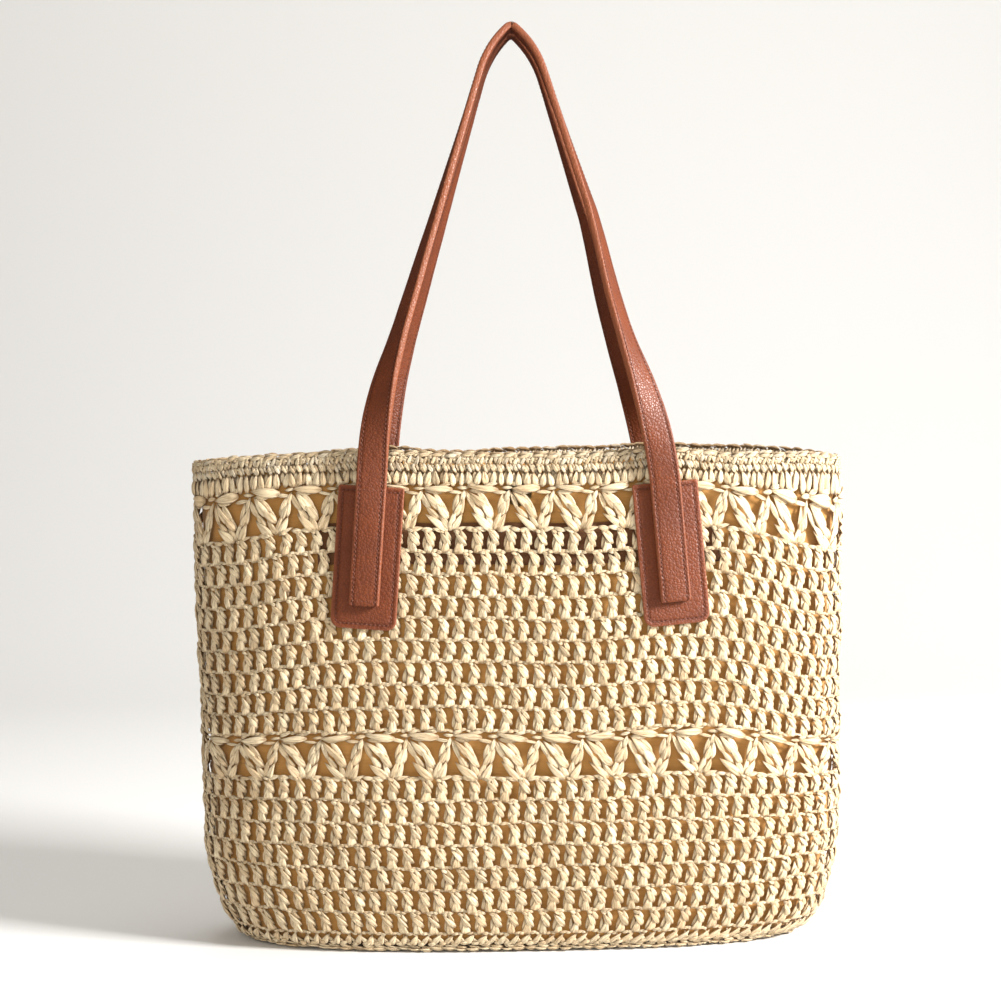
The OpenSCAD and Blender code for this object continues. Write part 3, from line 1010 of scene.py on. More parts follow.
class StrandShapes:
    """Short closed lengths of straw, one unit long, wide and thick, three of each kind."""

    RINGS = 6
    SIDES = 6
    VARIANTS = 3

    def __init__(self) -> None:
        """Make every shape and put it in one collection, in the order of its number."""
        self.collection = bpy.data.collections.new("strands")
        for kind in StrandKind:
            for variant in range(self.VARIANTS):
                self._make(kind, variant)

    @staticmethod
    def _width(kind: StrandKind, y: np.ndarray) -> np.ndarray:
        """Half width along a strand, for y from -0.5 at its foot to 0.5 at its tip."""
        t = y + 0.5
        if kind == StrandKind.LEAF:
            return 0.5 * np.sin(np.pi * t**0.62) ** 0.7 * (1 - 0.25 * t**3)
        if kind == StrandKind.SPINDLE:
            return 0.5 * np.sin(np.pi * t) ** 0.75
        return 0.5 * (1 - 0.35 * (1 - t) ** 12) * (1 - t) ** 0.7

    def _make(self, kind: StrandKind, variant: int) -> None:
        """Make one shape: a flattened tube, folded along its middle and bowed outwards."""
        tip = 0.47
        bend = (0.0, 0.045, -0.045)[variant]
        crease = (0.02, -0.12, 0.13)[variant]
        dip = (0.16, 0.06, 0.22)[variant]
        outline = ((0.5, 0.02), (0.36, 0.42), (crease, dip), (-0.34, 0.40), (-0.5, 0.0), (0.0, -0.36))
        points, coords, edge_shade = [], [], []
        for y in np.linspace(-tip, tip, self.RINGS):
            half = 2 * float(self._width(kind, np.array(y)))
            thick = min(1.0, half / 0.6)
            bow = 0.55 * (0.25 - y * y) / 0.25 - 0.35
            shift = bend * (0.25 - y * y) * 4
            for side, (x, z) in enumerate(outline):
                points.append((x * half + shift, y, z * thick + bow))
                coords.append((side / self.SIDES, y + 0.5))
                # 1 on the sides, underside and ends, 0.6 in the crease, 0 on top: mask of the straw's
                # painted shade.
                edge_shade.append((1.0, 0.0, 0.6, 0.0, 1.0, 1.0)[side] if abs(y) < tip else 1.0)
        foot, last = len(points), len(points) - self.SIDES
        points += [(0, -0.5, -0.35), (0, 0.5, -0.35)]
        coords += [(0.5, 0.0), (0.5, 1.0)]
        faces = flipped(grid_faces(self.SIDES, self.RINGS, closed=True))
        for side in range(self.SIDES):
            after = (side + 1) % self.SIDES
            faces += [(foot, side, after), (foot + 1, last + after, last + side)]
        shape = make_object(f"strand_{kind * self.VARIANTS + variant:02d}", np.array(points), faces)
        set_uv(shape, np.array(coords))
        # Stored as rim: the mask of painted shade on each strand's sides and underside.
        set_attribute(shape, "rim", "FLOAT", np.array(edge_shade + [1.0, 1.0]))
        bpy.context.collection.objects.unlink(shape)
        self.collection.objects.link(shape)

    def remove(self) -> None:
        """Delete the shapes once everything that uses them is plain mesh."""
        for shape in list(self.collection.objects):
            bpy.data.objects.remove(shape)
        bpy.data.collections.remove(self.collection)


@dataclass(frozen=True)
class Strand:
    """One visible length of straw in a stitch, drawn flat, in millimetres.

    Attributes:
        kind: Shape of the strand.
        foot: Where it starts, across and up.
        tip: Where it ends, across and up.
        width: Width at its widest.
        lift: Height of its middle above the guide surface.
        thick: Thickness.
        tilt: How much higher the tip stands than the foot.
    """

    kind: StrandKind
    foot: tuple[float, float]
    tip: tuple[float, float]
    width: float
    lift: float = 0.0
    thick: float = 1.6
    tilt: float = 0.0


@dataclass(frozen=True)
class Stitch:
    """A repeat of crochet: its pitch round the bag, its height and its strands."""

    pitch: float
    height: float
    strands: tuple[Strand, ...]

    def mesh(self, name: str) -> bpy.types.Object:
        """Make one vertex for each strand, with the strand's shape as attributes."""
        feet = np.array([strand.foot for strand in self.strands])
        steps = np.array([strand.tip for strand in self.strands]) - feet
        lengths = np.hypot(steps[:, 0], steps[:, 1])
        widths, lifts, thicks, tilts = np.array(
            [(strand.width, strand.lift, strand.thick, strand.tilt) for strand in self.strands]).T
        made = make_object(name, np.column_stack([feet + steps / 2, lifts]) * MM, [])
        set_attribute(made, "kind", "FLOAT", [float(strand.kind) for strand in self.strands])
        set_attribute(made, "turn", "FLOAT", np.arctan2(-steps[:, 0], steps[:, 1]))
        set_attribute(made, "tilt", "FLOAT", np.arctan2(tilts, lengths))
        set_attribute(made, "size", "FLOAT_VECTOR", np.column_stack([widths, lengths, thicks]) * MM)
        return made


LEAF, SPINDLE, WEDGE = StrandKind

TREBLE = Stitch(9.5, 13.3, (
    Strand(SPINDLE, (2.4, 0.6), (3.0, 12.6), 3.6, -1.2, 1.3),
    Strand(LEAF, (-0.4, 1.4), (-0.2, 10.2), 2.8, 0.0, 1.5),
    Strand(WEDGE, (1.5, -0.4), (2.1, 8.8), 7.2, 0.5, 2.2, 0.4),
    Strand(LEAF, (5.1, 4.2), (-1.0, 12.8), 3.8, 0.9, 2.0, -0.2),
    Strand(LEAF, (5.2, 7.4), (1.2, 14.6), 3.2, 0.5, 1.8),
    Strand(SPINDLE, (-1.8, 13.8), (2.4, 11.8), 2.2, 0.8, 1.4),
    Strand(SPINDLE, (2.4, 0.5), (7.4, 1.5), 2.0, 0.5, 1.6),
    Strand(SPINDLE, (5.6, 1.2), (9.8, 0.1), 2.1, 0.2, 1.6),
))

FAN = Stitch(26.0, 28.0, (
    Strand(LEAF, (-0.8, 0.0), (-12.6, 10.6), 5.2, 0.6, 2.0),
    Strand(LEAF, (-5.2, 6.4), (-12.4, 15.4), 4.2, 0.3, 1.8),
    Strand(SPINDLE, (-9.8, 11.4), (-15.8, 23.4), 3.6, 0.0, 1.6),
    Strand(LEAF, (-3.4, 12.4), (-13.8, 23.2), 4.8, 0.7, 1.9),
    Strand(LEAF, (0.6, 7.4), (-8.2, 17.6), 4.8, 0.9, 1.9),
    Strand(LEAF, (0.5, 0.7), (-4.6, 11.2), 4.3, 0.3, 1.8),
    Strand(SPINDLE, (1.1, 6.6), (-4.8, 18.4), 3.2, -0.2, 1.6),
    Strand(SPINDLE, (-1.4, 13.6), (-9.4, 23.4), 3.8, 0.2, 1.6),
    Strand(LEAF, (0.9, 0.4), (4.6, 12.8), 4.2, 0.4, 1.8),
    Strand(LEAF, (2.8, 0.4), (8.2, 10.4), 4.6, 0.7, 1.9),
    Strand(LEAF, (4.0, 8.4), (8.4, 18.6), 4.1, 0.6, 1.8),
    Strand(SPINDLE, (3.0, 11.0), (7.2, 22.4), 3.4, 0.1, 1.6),
    Strand(LEAF, (7.4, 9.6), (9.6, 20.6), 3.6, 0.3, 1.7),
    Strand(SPINDLE, (7.4, 16.4), (10.4, 24.4), 3.2, 0.1, 1.6),
    Strand(LEAF, (3.0, 24.8), (-15.4, 25.7), 4.8, 0.9, 2.2),
    Strand(SPINDLE, (-14.0, 23.8), (-3.0, 22.6), 3.2, -0.3, 1.6),
    Strand(SPINDLE, (-0.4, 23.4), (9.8, 22.2), 2.2, 0.2, 1.4),
    Strand(SPINDLE, (5.6, 25.4), (12.6, 25.6), 2.2, 0.3, 1.4),
    Strand(LEAF, (-14.6, 27.0), (-7.6, 28.9), 2.8, 0.3, 1.4),
    Strand(SPINDLE, (-5.6, 26.8), (4.2, 28.6), 2.6, 0.1, 1.4),
    Strand(LEAF, (2.6, 0.4), (11.4, 2.6), 3.2, 0.4, 1.6),
    Strand(SPINDLE, (9.6, 1.6), (17.6, 0.4), 3.0, 0.2, 1.6),
    Strand(LEAF, (22.8, 0.4), (15.4, 1.8), 3.2, 0.4, 1.6),
))

SINGLE = Stitch(9.5, 8.2, (
    Strand(LEAF, (0.4, -0.8), (-0.9, 8.2), 4.4, 0.5, 2.1),
    Strand(LEAF, (4.2, -0.6), (5.9, 8.4), 4.0, 0.6, 2.1),
    Strand(SPINDLE, (2.4, 1.0), (3.0, 8.0), 2.8, -0.5, 1.6),
    Strand(SPINDLE, (6.9, 0.6), (7.3, 7.6), 2.4, -0.5, 1.6),
))

DENSE = Stitch(4.6, 4.8, (
    Strand(LEAF, (2.7, -0.6), (-0.7, 5.6), 2.3, 0.3, 1.7),
    Strand(SPINDLE, (4.0, 0.2), (1.9, 5.2), 2.0, 0.0, 1.5),
    Strand(SPINDLE, (-0.3, 1.2), (1.5, 4.6), 1.5, 0.5, 1.2),
))

CROSSED = Stitch(4.8, 4.8, (
    Strand(LEAF, (-0.4, -0.4), (2.4, 5.6), 2.3, 0.3, 1.7),
    Strand(SPINDLE, (3.6, -0.2), (2.2, 5.2), 2.1, 0.1, 1.6),
    Strand(SPINDLE, (1.8, 3.9), (5.4, 2.6), 1.5, 0.5, 1.2),
))

LIP = Stitch(8.4, 4.0, (
    Strand(SPINDLE, (-1.0, 0.3), (7.6, 1.7), 2.3, 0.4, 2.0, 0.3),
    Strand(SPINDLE, (1.6, 1.9), (9.4, 2.9), 2.2, -1.1, 2.2),
    Strand(SPINDLE, (-0.6, 2.0), (6.8, 3.3), 2.2, -2.6, 2.2),
    Strand(LEAF, (5.8, -0.6), (8.6, 2.0), 1.6, 0.6, 1.4),
))

BRAID = Stitch(7.0, 4.0, (
    Strand(LEAF, (7.6, 0.2), (-1.2, 2.0), 3.2, 0.3, 2.2),
    Strand(SPINDLE, (1.0, 3.2), (8.6, 1.6), 2.8, -0.4, 1.8),
))

RIDGE = Stitch(6.6, 7.4, (
    Strand(LEAF, (-2.2, 0.2), (4.0, 7.2), 3.6, 0.5, 2.0),
    Strand(LEAF, (5.0, 0.0), (1.0, 6.4), 3.0, -0.1, 1.8),
    Strand(SPINDLE, (0.6, 0.6), (6.8, 1.8), 2.6, 0.4, 1.6),
))

FLAT = Stitch(9.0, 9.2, (
    Strand(LEAF, (0.4, -0.4), (-0.6, 9.4), 4.2, 0.1, 1.8),
    Strand(LEAF, (4.6, 0.0), (4.4, 9.6), 3.8, 0.1, 1.8),
    Strand(SPINDLE, (0.6, 1.0), (8.4, 1.6), 2.6, -0.4, 1.6),
))


@dataclass(frozen=True)
class Band:
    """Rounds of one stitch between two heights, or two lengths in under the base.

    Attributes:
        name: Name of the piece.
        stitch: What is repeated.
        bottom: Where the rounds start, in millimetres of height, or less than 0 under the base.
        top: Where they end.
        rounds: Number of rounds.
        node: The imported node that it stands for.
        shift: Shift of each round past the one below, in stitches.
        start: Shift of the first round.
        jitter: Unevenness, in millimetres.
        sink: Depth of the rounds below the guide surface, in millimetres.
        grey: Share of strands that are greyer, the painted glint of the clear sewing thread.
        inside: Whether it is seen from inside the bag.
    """

    name: str
    stitch: Stitch
    bottom: float
    top: float
    rounds: int
    node: str
    shift: float = 0.55
    start: float = 0.0
    jitter: float = 0.45
    sink: float = 0.0
    grey: float = 0.0
    inside: bool = False


class Crochet:
    """The straw: bands of stitches laid on the guide surface."""

    FIRST_SEED = 11
    SEED_STEP = 17
    BANDS = (
        Band("base_inner_rounds", FLAT, -45.5, -18.0, 3, "crochet_base", sink=0.4),
        Band("base_outer_rounds", FLAT, -18.0, 0.0, 2, "crochet_base", sink=0.4),
        Band("ridge_braid", BRAID, 0.0, 3.6, 1, "crochet_ridge"),
        Band("ridge_round", RIDGE, 3.0, 10.4, 1, "crochet_ridge"),
        Band("lower_rounds_1", TREBLE, 10.0, 50.7, 3, "crochet_lower"),
        Band("lower_rounds_2", TREBLE, 50.7, 77.9, 2, "crochet_lower", start=1.65),
        Band("lower_rounds_3", TREBLE, 77.9, 105.0, 2, "crochet_lower", start=2.75),
        Band("lower_fans", FAN, 104.0, 132.0, 1, "fan_band_lower", jitter=0.3),
        Band("upper_rounds_1", TREBLE, 132.0, 172.0, 3, "crochet_upper", start=0.3),
        Band("upper_rounds_2", TREBLE, 172.0, 211.0, 3, "crochet_upper", start=1.95),
        Band("upper_rounds_3", TREBLE, 211.0, 250.0, 3, "crochet_upper", start=3.6),
        Band("upper_fans", FAN, 249.5, 277.0, 1, "fan_band_upper", start=0.4, jitter=0.3),
        Band("rim_single_round", SINGLE, 276.4, 284.6, 1, "crochet_rim"),
        Band("rim_dense_rounds", DENSE, 284.0, 288.8, 1, "crochet_rim", jitter=0.4, grey=0.25),
        Band("rim_crossed_round", CROSSED, 288.4, 293.2, 1, "crochet_rim", jitter=0.4, grey=0.25),
        Band("rim_inner_rounds", DENSE, 279.0, 293.2, 3, "crochet_rim", jitter=0.3, sink=2.3, grey=0.2,
             inside=True),
        Band("rim_lip", LIP, 292.6, 296.4, 1, "rim_braid", jitter=0.35, grey=0.15),
    )

    def __init__(self, wall: Wall, straw: bpy.types.Material) -> None:
        """Prepare the guide, the strands and the tree.

        Args:
            wall: Where the straw lies.
            straw: Its material.
        """
        self.wall = wall
        self.straw = straw
        self.guide = wall.guide()
        self.shapes = StrandShapes()
        self.tree = self._tree()

    def _tree(self) -> bpy.types.NodeTree:
        """Node tree that repeats a stitch, draws its strands and lays them on the guide."""
        whole, number = "NodeSocketInt", FLOAT
        graph, given, sink = make_group("crochet_rounds", {
            "Stitch": ("NodeSocketGeometry", None), "Strands": ("NodeSocketCollection", None),
            "Guide": ("NodeSocketObject", None), "Material": ("NodeSocketMaterial", None),
            "Stitches": (whole, 98), "Rounds": (whole, 1), "Around": (number, 0.93),
            "Bottom": (number, 0.0), "Rise": (number, 0.013), "Shift": (number, 0.55),
            "Start": (number, 0.0), "Stretch": (VECTOR, (1.0, 1.0, 1.0)), "Jitter": (number, 0.0004),
            "Sink": (number, 0.0), "Facing": (number, 1.0), "Grey": (number, 0.0), "Seed": (whole, 1),
        }, {"Rounds": "NodeSocketGeometry"}, "GeometryNodeTree")
        index = graph.out("GeometryNodeInputIndex")
        column = graph.math("FLOORED_MODULO", index, given["Stitches"])
        row = graph.math("FLOOR", graph.math("DIVIDE", graph.math("ADD", index, 0.5), given["Stitches"]))
        pitch = graph.math("DIVIDE", given["Around"], given["Stitches"])
        shifted = graph.math("ADD", graph.math("MULTIPLY_ADD", row, given["Shift"], column), given["Start"])
        flat = graph.combine(graph.math("MULTIPLY", shifted, pitch),
                             graph.math("MULTIPLY_ADD", row, given["Rise"], given["Bottom"]), 0.0)
        count = graph.math("MULTIPLY", given["Stitches"], given["Rounds"])
        line = graph.out("GeometryNodeMeshLine", {"Count": count})
        spread = self._scatter(graph, given["Jitter"], given["Seed"], 0)
        places = graph.out("GeometryNodeSetPosition", {
            "Geometry": line, "Position": graph.vector("ADD", flat, spread)})
        repeated = graph.out("GeometryNodeInstanceOnPoints", {
            "Points": places, "Instance": given["Stitch"], "Scale": given["Stretch"]})
        feet = graph.out("GeometryNodeRealizeInstances", {"Geometry": repeated})
        half = graph.math("MULTIPLY", given["Jitter"], 0.7)
        moved = graph.out("GeometryNodeSetPosition", {
            "Geometry": feet, "Offset": self._scatter(graph, half, given["Seed"], 1)})
        laid = self._lay(graph, given, self._strands(graph, given, moved))
        finished = graph.out("GeometryNodeSetMaterial", {"Geometry": laid, "Material": given["Material"]})
        graph.feed(sink, "Rounds", finished)
        graph.tree.is_modifier = True
        return graph.tree

    @staticmethod
    def _scatter(graph: Graph, reach: Any, seed: Any, extra: int) -> bpy.types.NodeSocket:
        """Random vector within plus or minus reach on each axis."""
        low = graph.combine(*[graph.math("MULTIPLY", reach, -1.0)] * 3)
        seeded = graph.math("ADD", seed, float(extra))
        return graph.random(low, graph.combine(*[reach] * 3), seeded, "FLOAT_VECTOR")

    def _strands(self, graph: Graph, given: Any, feet: bpy.types.NodeSocket) -> bpy.types.NodeSocket:
        """Put a strand of the right kind at each vertex of the repeated stitches."""

        def vary(extra: int, low: float, high: float) -> bpy.types.NodeSocket:
            """Random number between two limits."""
            return graph.random(low, high, graph.math("ADD", given["Seed"], float(extra)))

        parts = graph.out("GeometryNodeCollectionInfo", {
            "Collection": given["Strands"], "Separate Children": True, "Reset Children": True})
        variant = graph.math("FLOOR", vary(2, 0.0, 2.999))
        pick = graph.math("MULTIPLY_ADD", graph.named("kind"), 3.0, variant)
        turn = graph.math("ADD", graph.named("turn"), vary(3, -0.13, 0.13))
        euler = graph.combine(graph.named("tilt"), vary(4, -0.22, 0.22), turn)
        spread = graph.combine(vary(5, 0.82, 1.15), vary(6, 0.93, 1.07), 1.0)
        drawn = graph.out("GeometryNodeInstanceOnPoints", {
            "Points": feet, "Instance": parts, "Pick Instance": True, "Instance Index": pick,
            "Rotation": graph.out("FunctionNodeEulerToRotation", {"Euler": euler}),
            "Scale": graph.vector("MULTIPLY", graph.named("size", "FLOAT_VECTOR"), spread)})
        # Greyed strands paint the glint of the clear sewing thread.
        grey = graph.math("LESS_THAN", vary(8, 0.0, 1.0), given["Grey"])
        for name, value in (("tone", vary(7, 0.0, 1.0)), ("grey", grey)):
            drawn = graph.out("GeometryNodeStoreNamedAttribute", {
                "Geometry": drawn, "Name": name, "Value": value}, data_type="FLOAT", domain="INSTANCE")
        return graph.out("GeometryNodeRealizeInstances", {"Geometry": drawn})

    def _lay(self, graph: Graph, given: Any, flat: bpy.types.NodeSocket) -> bpy.types.NodeSocket:
        """Wrap the flat rounds round the guide."""
        across, up, out = graph.split(graph.out("GeometryNodeInputPosition"))
        # Height above the guide is kept as lift, which the straw reads to paint shade on low strands.
        lifted = graph.out("GeometryNodeStoreNamedAttribute", {
            "Geometry": flat, "Name": "lift", "Value": out}, data_type="FLOAT", domain="POINT")
        turn = graph.math("FRACT", graph.math("DIVIDE", across, given["Around"]))
        where = graph.combine(turn, up, 0.0)
        guide = graph.add("GeometryNodeObjectInfo", {"Object": given["Guide"]}).outputs["Geometry"]
        surface, outward = (
            graph.add("GeometryNodeSampleUVSurface", {
                "Mesh": guide, "Value": value, "UV Map": graph.named("UVMap", "FLOAT_VECTOR"),
                "Sample UV": where}, data_type="FLOAT_VECTOR").outputs["Value"]
            for value in (graph.out("GeometryNodeInputPosition"), graph.named("outward", "FLOAT_VECTOR")))
        height = graph.math("SUBTRACT", graph.math("MULTIPLY", out, given["Facing"]), given["Sink"])
        raised = graph.vector("MULTIPLY_ADD", outward, graph.combine(height, height, height), surface)
        return graph.out("GeometryNodeSetPosition", {"Geometry": lifted, "Position": raised})

    def _length(self, place: float) -> float:
        """Length up the wall for a band's end, which is under the base if negative."""
        return place * MM if place < 0 else self.wall.length_at(place * MM)

    def build(self) -> None:
        """Make every band."""
        for number, band in enumerate(self.BANDS):
            self._build_band(band, self.FIRST_SEED + self.SEED_STEP * number)
        bpy.data.objects.remove(self.guide)
        self.shapes.remove()

    def _build_band(self, band: Band, seed: int) -> None:
        """Make one band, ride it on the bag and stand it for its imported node."""
        low, high = self._length(band.bottom), self._length(band.top)
        middle = (band.bottom + band.top) / 2 * MM
        if band.bottom < 0:
            ring = self.wall.rows(np.array([middle]), np.linspace(0, 1, 400), 0.0)[0]
            around = float(np.hypot(*np.diff(ring[:, :2], axis=0).T).sum())
        else:
            around = self.wall.shape.around(middle, Wall.STRAW_DEPTH)
        stitches = round(around / (band.stitch.pitch * MM))
        rise = (high - low) / band.rounds
        stretch = (around / stitches / (band.stitch.pitch * MM), rise / (band.stitch.height * MM), 1.0)
        made = band.stitch.mesh(band.name)
        grow(made, self.tree, {
            "Strands": self.shapes.collection, "Guide": self.guide, "Material": self.straw,
            "Stitches": stitches, "Rounds": band.rounds, "Around": around, "Bottom": low,
            "Rise": rise, "Shift": band.shift, "Start": band.start, "Stretch": stretch,
            "Jitter": band.jitter * MM, "Sink": band.sink * MM, "Facing": -1.0 if band.inside else 1.0,
            "Grey": band.grey, "Seed": seed,
        })
        if band.inside:
            made.data.flip_normals()
        hand_in(made, "straw", band.node)
        log.info("%s: %d stitches by %d rounds, %d faces", band.name, stitches, band.rounds,
                 len(made.data.polygons))


def grow(made: bpy.types.Object, tree: bpy.types.NodeTree, values: dict[str, Any]) -> None:
    """Run a Geometry Nodes tree on an object and keep the result as plain mesh.

    Args:
        made: The object.
        tree: The tree.
        values: Values of the tree's inputs, by name.
    """
    modifier = made.modifiers.new("nodes", "NODES")
    modifier.node_group = tree
    for item in tree.interface.items_tree:
        if item.item_type == "SOCKET" and item.in_out == "INPUT" and item.name in values:
            modifier[item.identifier] = values[item.name]
    bake(made)


def bake(made: bpy.types.Object) -> None:
    """Turn an object into the plain mesh that its modifiers make.

    Args:
        made: The object, whose modifiers are removed.
    """
    depsgraph = bpy.context.evaluated_depsgraph_get()
    result = bpy.data.meshes.new_from_object(made.evaluated_get(depsgraph), depsgraph=depsgraph)
    old = made.data
    made.modifiers.clear()
    made.data = result
    bpy.data.meshes.remove(old)
    result.name = made.name


def hand_in(made: bpy.types.Object, slot: str, *nodes: str) -> None:
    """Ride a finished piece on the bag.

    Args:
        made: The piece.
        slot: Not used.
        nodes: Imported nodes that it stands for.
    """
    if nodes:
        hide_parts(*nodes)
    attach(made, Body.BAG.value)


# Studio


@dataclass(frozen=True)
class AreaLight:
    """A square softbox.

    Attributes:
        name: Name of the light.
        place: Where it stands.
        aim: What it points at.
        power: Watts.
        size: Length of its side.
        colour: Linear colour.
        mirrored: Whether it shows in shiny surfaces.
    """

    name: str
    place: tuple[float, float, float]
    aim: tuple[float, float, float]
    power: float
    size: float
    colour: tuple[float, float, float] = (1.0, 1.0, 1.0)
    mirrored: bool = True

    def build(self) -> None:
        """Add the light to the scene."""
        data = bpy.data.lights.new(self.name, "AREA")
        data.energy = self.power
        data.size = self.size
        data.color = self.colour
        made = bpy.data.objects.new(self.name, data)
        made.location = self.place
        made.visible_glossy = self.mirrored
        look = Vector(self.aim) - Vector(self.place)
        made.rotation_euler = look.to_track_quat("-Z", "Y").to_euler()
        bpy.context.collection.objects.link(made)


@dataclass(frozen=True)
class Studio:
    """Pale swept backdrop, soft lights and the camera."""

    camera_place: tuple = (-0.0105, -1.2, 0.3145)
    camera_aim: tuple = (-0.0105, 0.0, 0.2653)
    lens: float = 70.3
    roll: float = -0.85
    lights: tuple = (
        AreaLight("key", (1.6, -0.75, 0.95), (0.0, 0.0, 0.2), 84.0, 0.45),
        AreaLight("fill", (-0.4, -2.3, 0.9), (0.0, 0.0, 0.25), 17.0, 1.2, (1.0, 0.97, 0.92), False),
        AreaLight("top", (0.1, 0.4, 1.6), (0.0, 0.0, 0.2), 8.0, 1.2),
    )
    ambient: float = 0.34

    def build(self, floor: bpy.types.Material) -> None:
        """Set up everything that isn't the bag.

        Args:
            floor: Material of the backdrop.
        """
        self._backdrop(floor)
        for light in self.lights:
            light.build()
        world = bpy.data.worlds.new("studio")
        world.use_nodes = True
        world.node_tree.nodes["Background"].inputs["Color"].default_value = (1.0, 0.97, 0.92, 1.0)
        world.node_tree.nodes["Background"].inputs["Strength"].default_value = self.ambient
        bpy.context.scene.world = world
        world.cycles_visibility.glossy = False
        data = bpy.data.cameras.new("camera")
        data.lens = self.lens
        data.sensor_width = 36.0
        made = bpy.data.objects.new("camera", data)
        made.location = self.camera_place
        look = Vector(self.camera_aim) - Vector(self.camera_place)
        level = look.to_track_quat("-Z", "Y")
        made.rotation_euler = (level @ Quaternion((0.0, 0.0, 1.0), math.radians(self.roll))).to_euler()
        bpy.context.collection.objects.link(made)
        bpy.context.scene.camera = made
        bpy.context.scene.view_settings.view_transform = "Standard"

    def _backdrop(self, floor: bpy.types.Material) -> None:
        """Floor that sweeps up into a wall behind the bag."""
        reach, back, sweep = 4.0, 2.2, 1.2
        profile = [(-4.0, 0.0), (back - sweep, 0.0)]
        for step in range(1, 17):
            angle = math.pi / 2 * step / 16
            profile.append((back - sweep + sweep * math.sin(angle), sweep - sweep * math.cos(angle)))
        profile.append((back, 4.0))
        level = CAD_LOW.z - 0.2 * MM
        points = [(x, y, z + level) for y, z in profile for x in (-reach, reach)]
        backdrop = make_object("backdrop", np.array(points), grid_faces(2, len(profile)))
        backdrop.data.materials.append(floor)
        backdrop.visible_glossy = False


# Leather

STITCH_INSET = 3.0 * MM
TAB_CHANNEL = 0.38 * MM
STRAP_CHANNEL = 0.35 * MM


def groove(distance: np.ndarray, half_width: float = 0.62 * MM) -> np.ndarray:
    """Depth of the stitch channel as a share, by distance from its middle."""
    return np.exp(-((distance / half_width) ** 2))


class Threads:
    """Runs of saddle stitching: short twisted lengths of thread along a path."""

    PITCH = 2.6 * MM

    def __init__(self, thread: bpy.types.Material) -> None:
        """Make one stitch's shape and the tree that repeats it.

        Args:
            thread: Material of the thread.
        """
        self.thread = thread
        self.shape = self._shape()
        self.tree = self._tree()

    @staticmethod
    def _shape() -> bpy.types.Object:
        """One visible stitch, one unit long along Y, with its ends down in their holes."""
        rings, sides = 5, 6
        points, coords = [], []
        for y in np.linspace(-0.5, 0.5, rings):
            drop = -0.9 * (2 * y) ** 4
            half = 0.5 * (1 - 0.55 * (2 * y) ** 4)
            for side in range(sides):
                angle = 2 * math.pi * side / sides
                points.append((half * math.cos(angle), y, half * math.sin(angle) + drop))
                coords.append((side / sides, y + 0.5))
        faces = flipped(grid_faces(sides, rings, closed=True))
        faces.append(tuple(range(sides)))
        faces.append(tuple(reversed(range((rings - 1) * sides, rings * sides))))
        shape = make_object("thread_stitch", np.array(points), faces)
        set_uv(shape, np.array(coords))
        return shape

    @staticmethod
    def _tree() -> bpy.types.NodeTree:
        """Node tree that sets stitches along paths, turned to the outward direction."""
        graph, given, sink = make_group("stitch_run", {
            "Paths": ("NodeSocketGeometry", None), "Stitch": ("NodeSocketObject", None),
            "Material": ("NodeSocketMaterial", None), "Pitch": (FLOAT, 0.003),
            "Size": (VECTOR, (0.0007, 0.0022, 0.0006)), "Seed": ("NodeSocketInt", 1),
        }, {"Stitches": "NodeSocketGeometry"}, "GeometryNodeTree")
        curve = graph.out("GeometryNodeMeshToCurve", {"Mesh": given["Paths"]})
        spaced = graph.out("GeometryNodeResampleCurve", {
            "Curve": curve, "Length": given["Pitch"]}, mode="LENGTH")
        points = graph.add("GeometryNodeCurveToPoints", {"Curve": spaced}, mode="EVALUATED").outputs
        axes = graph.out("FunctionNodeAxesToRotation", {
            0: points["Tangent"], 1: graph.named("outward", "FLOAT_VECTOR")},
            primary_axis="Y", secondary_axis="Z")
        shape = graph.add("GeometryNodeObjectInfo", {"Object": given["Stitch"]}).outputs["Geometry"]
        vary = graph.random((0.85, 0.9, 0.9), (1.15, 1.08, 1.1), given["Seed"], "FLOAT_VECTOR")
        placed = graph.out("GeometryNodeInstanceOnPoints", {
            "Points": points[0], "Instance": shape, "Rotation": axes,
            "Scale": graph.vector("MULTIPLY", given["Size"], vary)})
        real = graph.out("GeometryNodeRealizeInstances", {"Geometry": placed})
        done = graph.out("GeometryNodeSetMaterial", {"Geometry": real, "Material": given["Material"]})
        graph.feed(sink, "Stitches", done)
        graph.tree.is_modifier = True
        return graph.tree

    def sew(self, name: str, runs: Sequence[tuple[np.ndarray, np.ndarray]],
            seed: int) -> bpy.types.Object:
        """Make the stitches of several paths as one piece.

        Args:
            name: Name of the piece.
            runs: Points and outward directions of each path.
            seed: Seed of the unevenness.

        Returns:
            The piece, as plain mesh.
        """
        edges, start = [], 0
        for places, _ in runs:
            edges += [(start + i, start + i + 1) for i in range(len(places) - 1)]
            start += len(places)
        points, outward = (np.concatenate(part) for part in zip(*runs))
        made = make_object(name, points, [], edges)
        set_attribute(made, "outward", "FLOAT_VECTOR", outward)
        grow(made, self.tree, {
            "Stitch": self.shape, "Material": self.thread, "Pitch": self.PITCH,
            "Size": (0.72 * MM, self.PITCH * 0.76, 0.60 * MM), "Seed": seed})
        return made

    def remove(self) -> None:
        """Delete the single stitch."""
        bpy.data.objects.remove(self.shape)


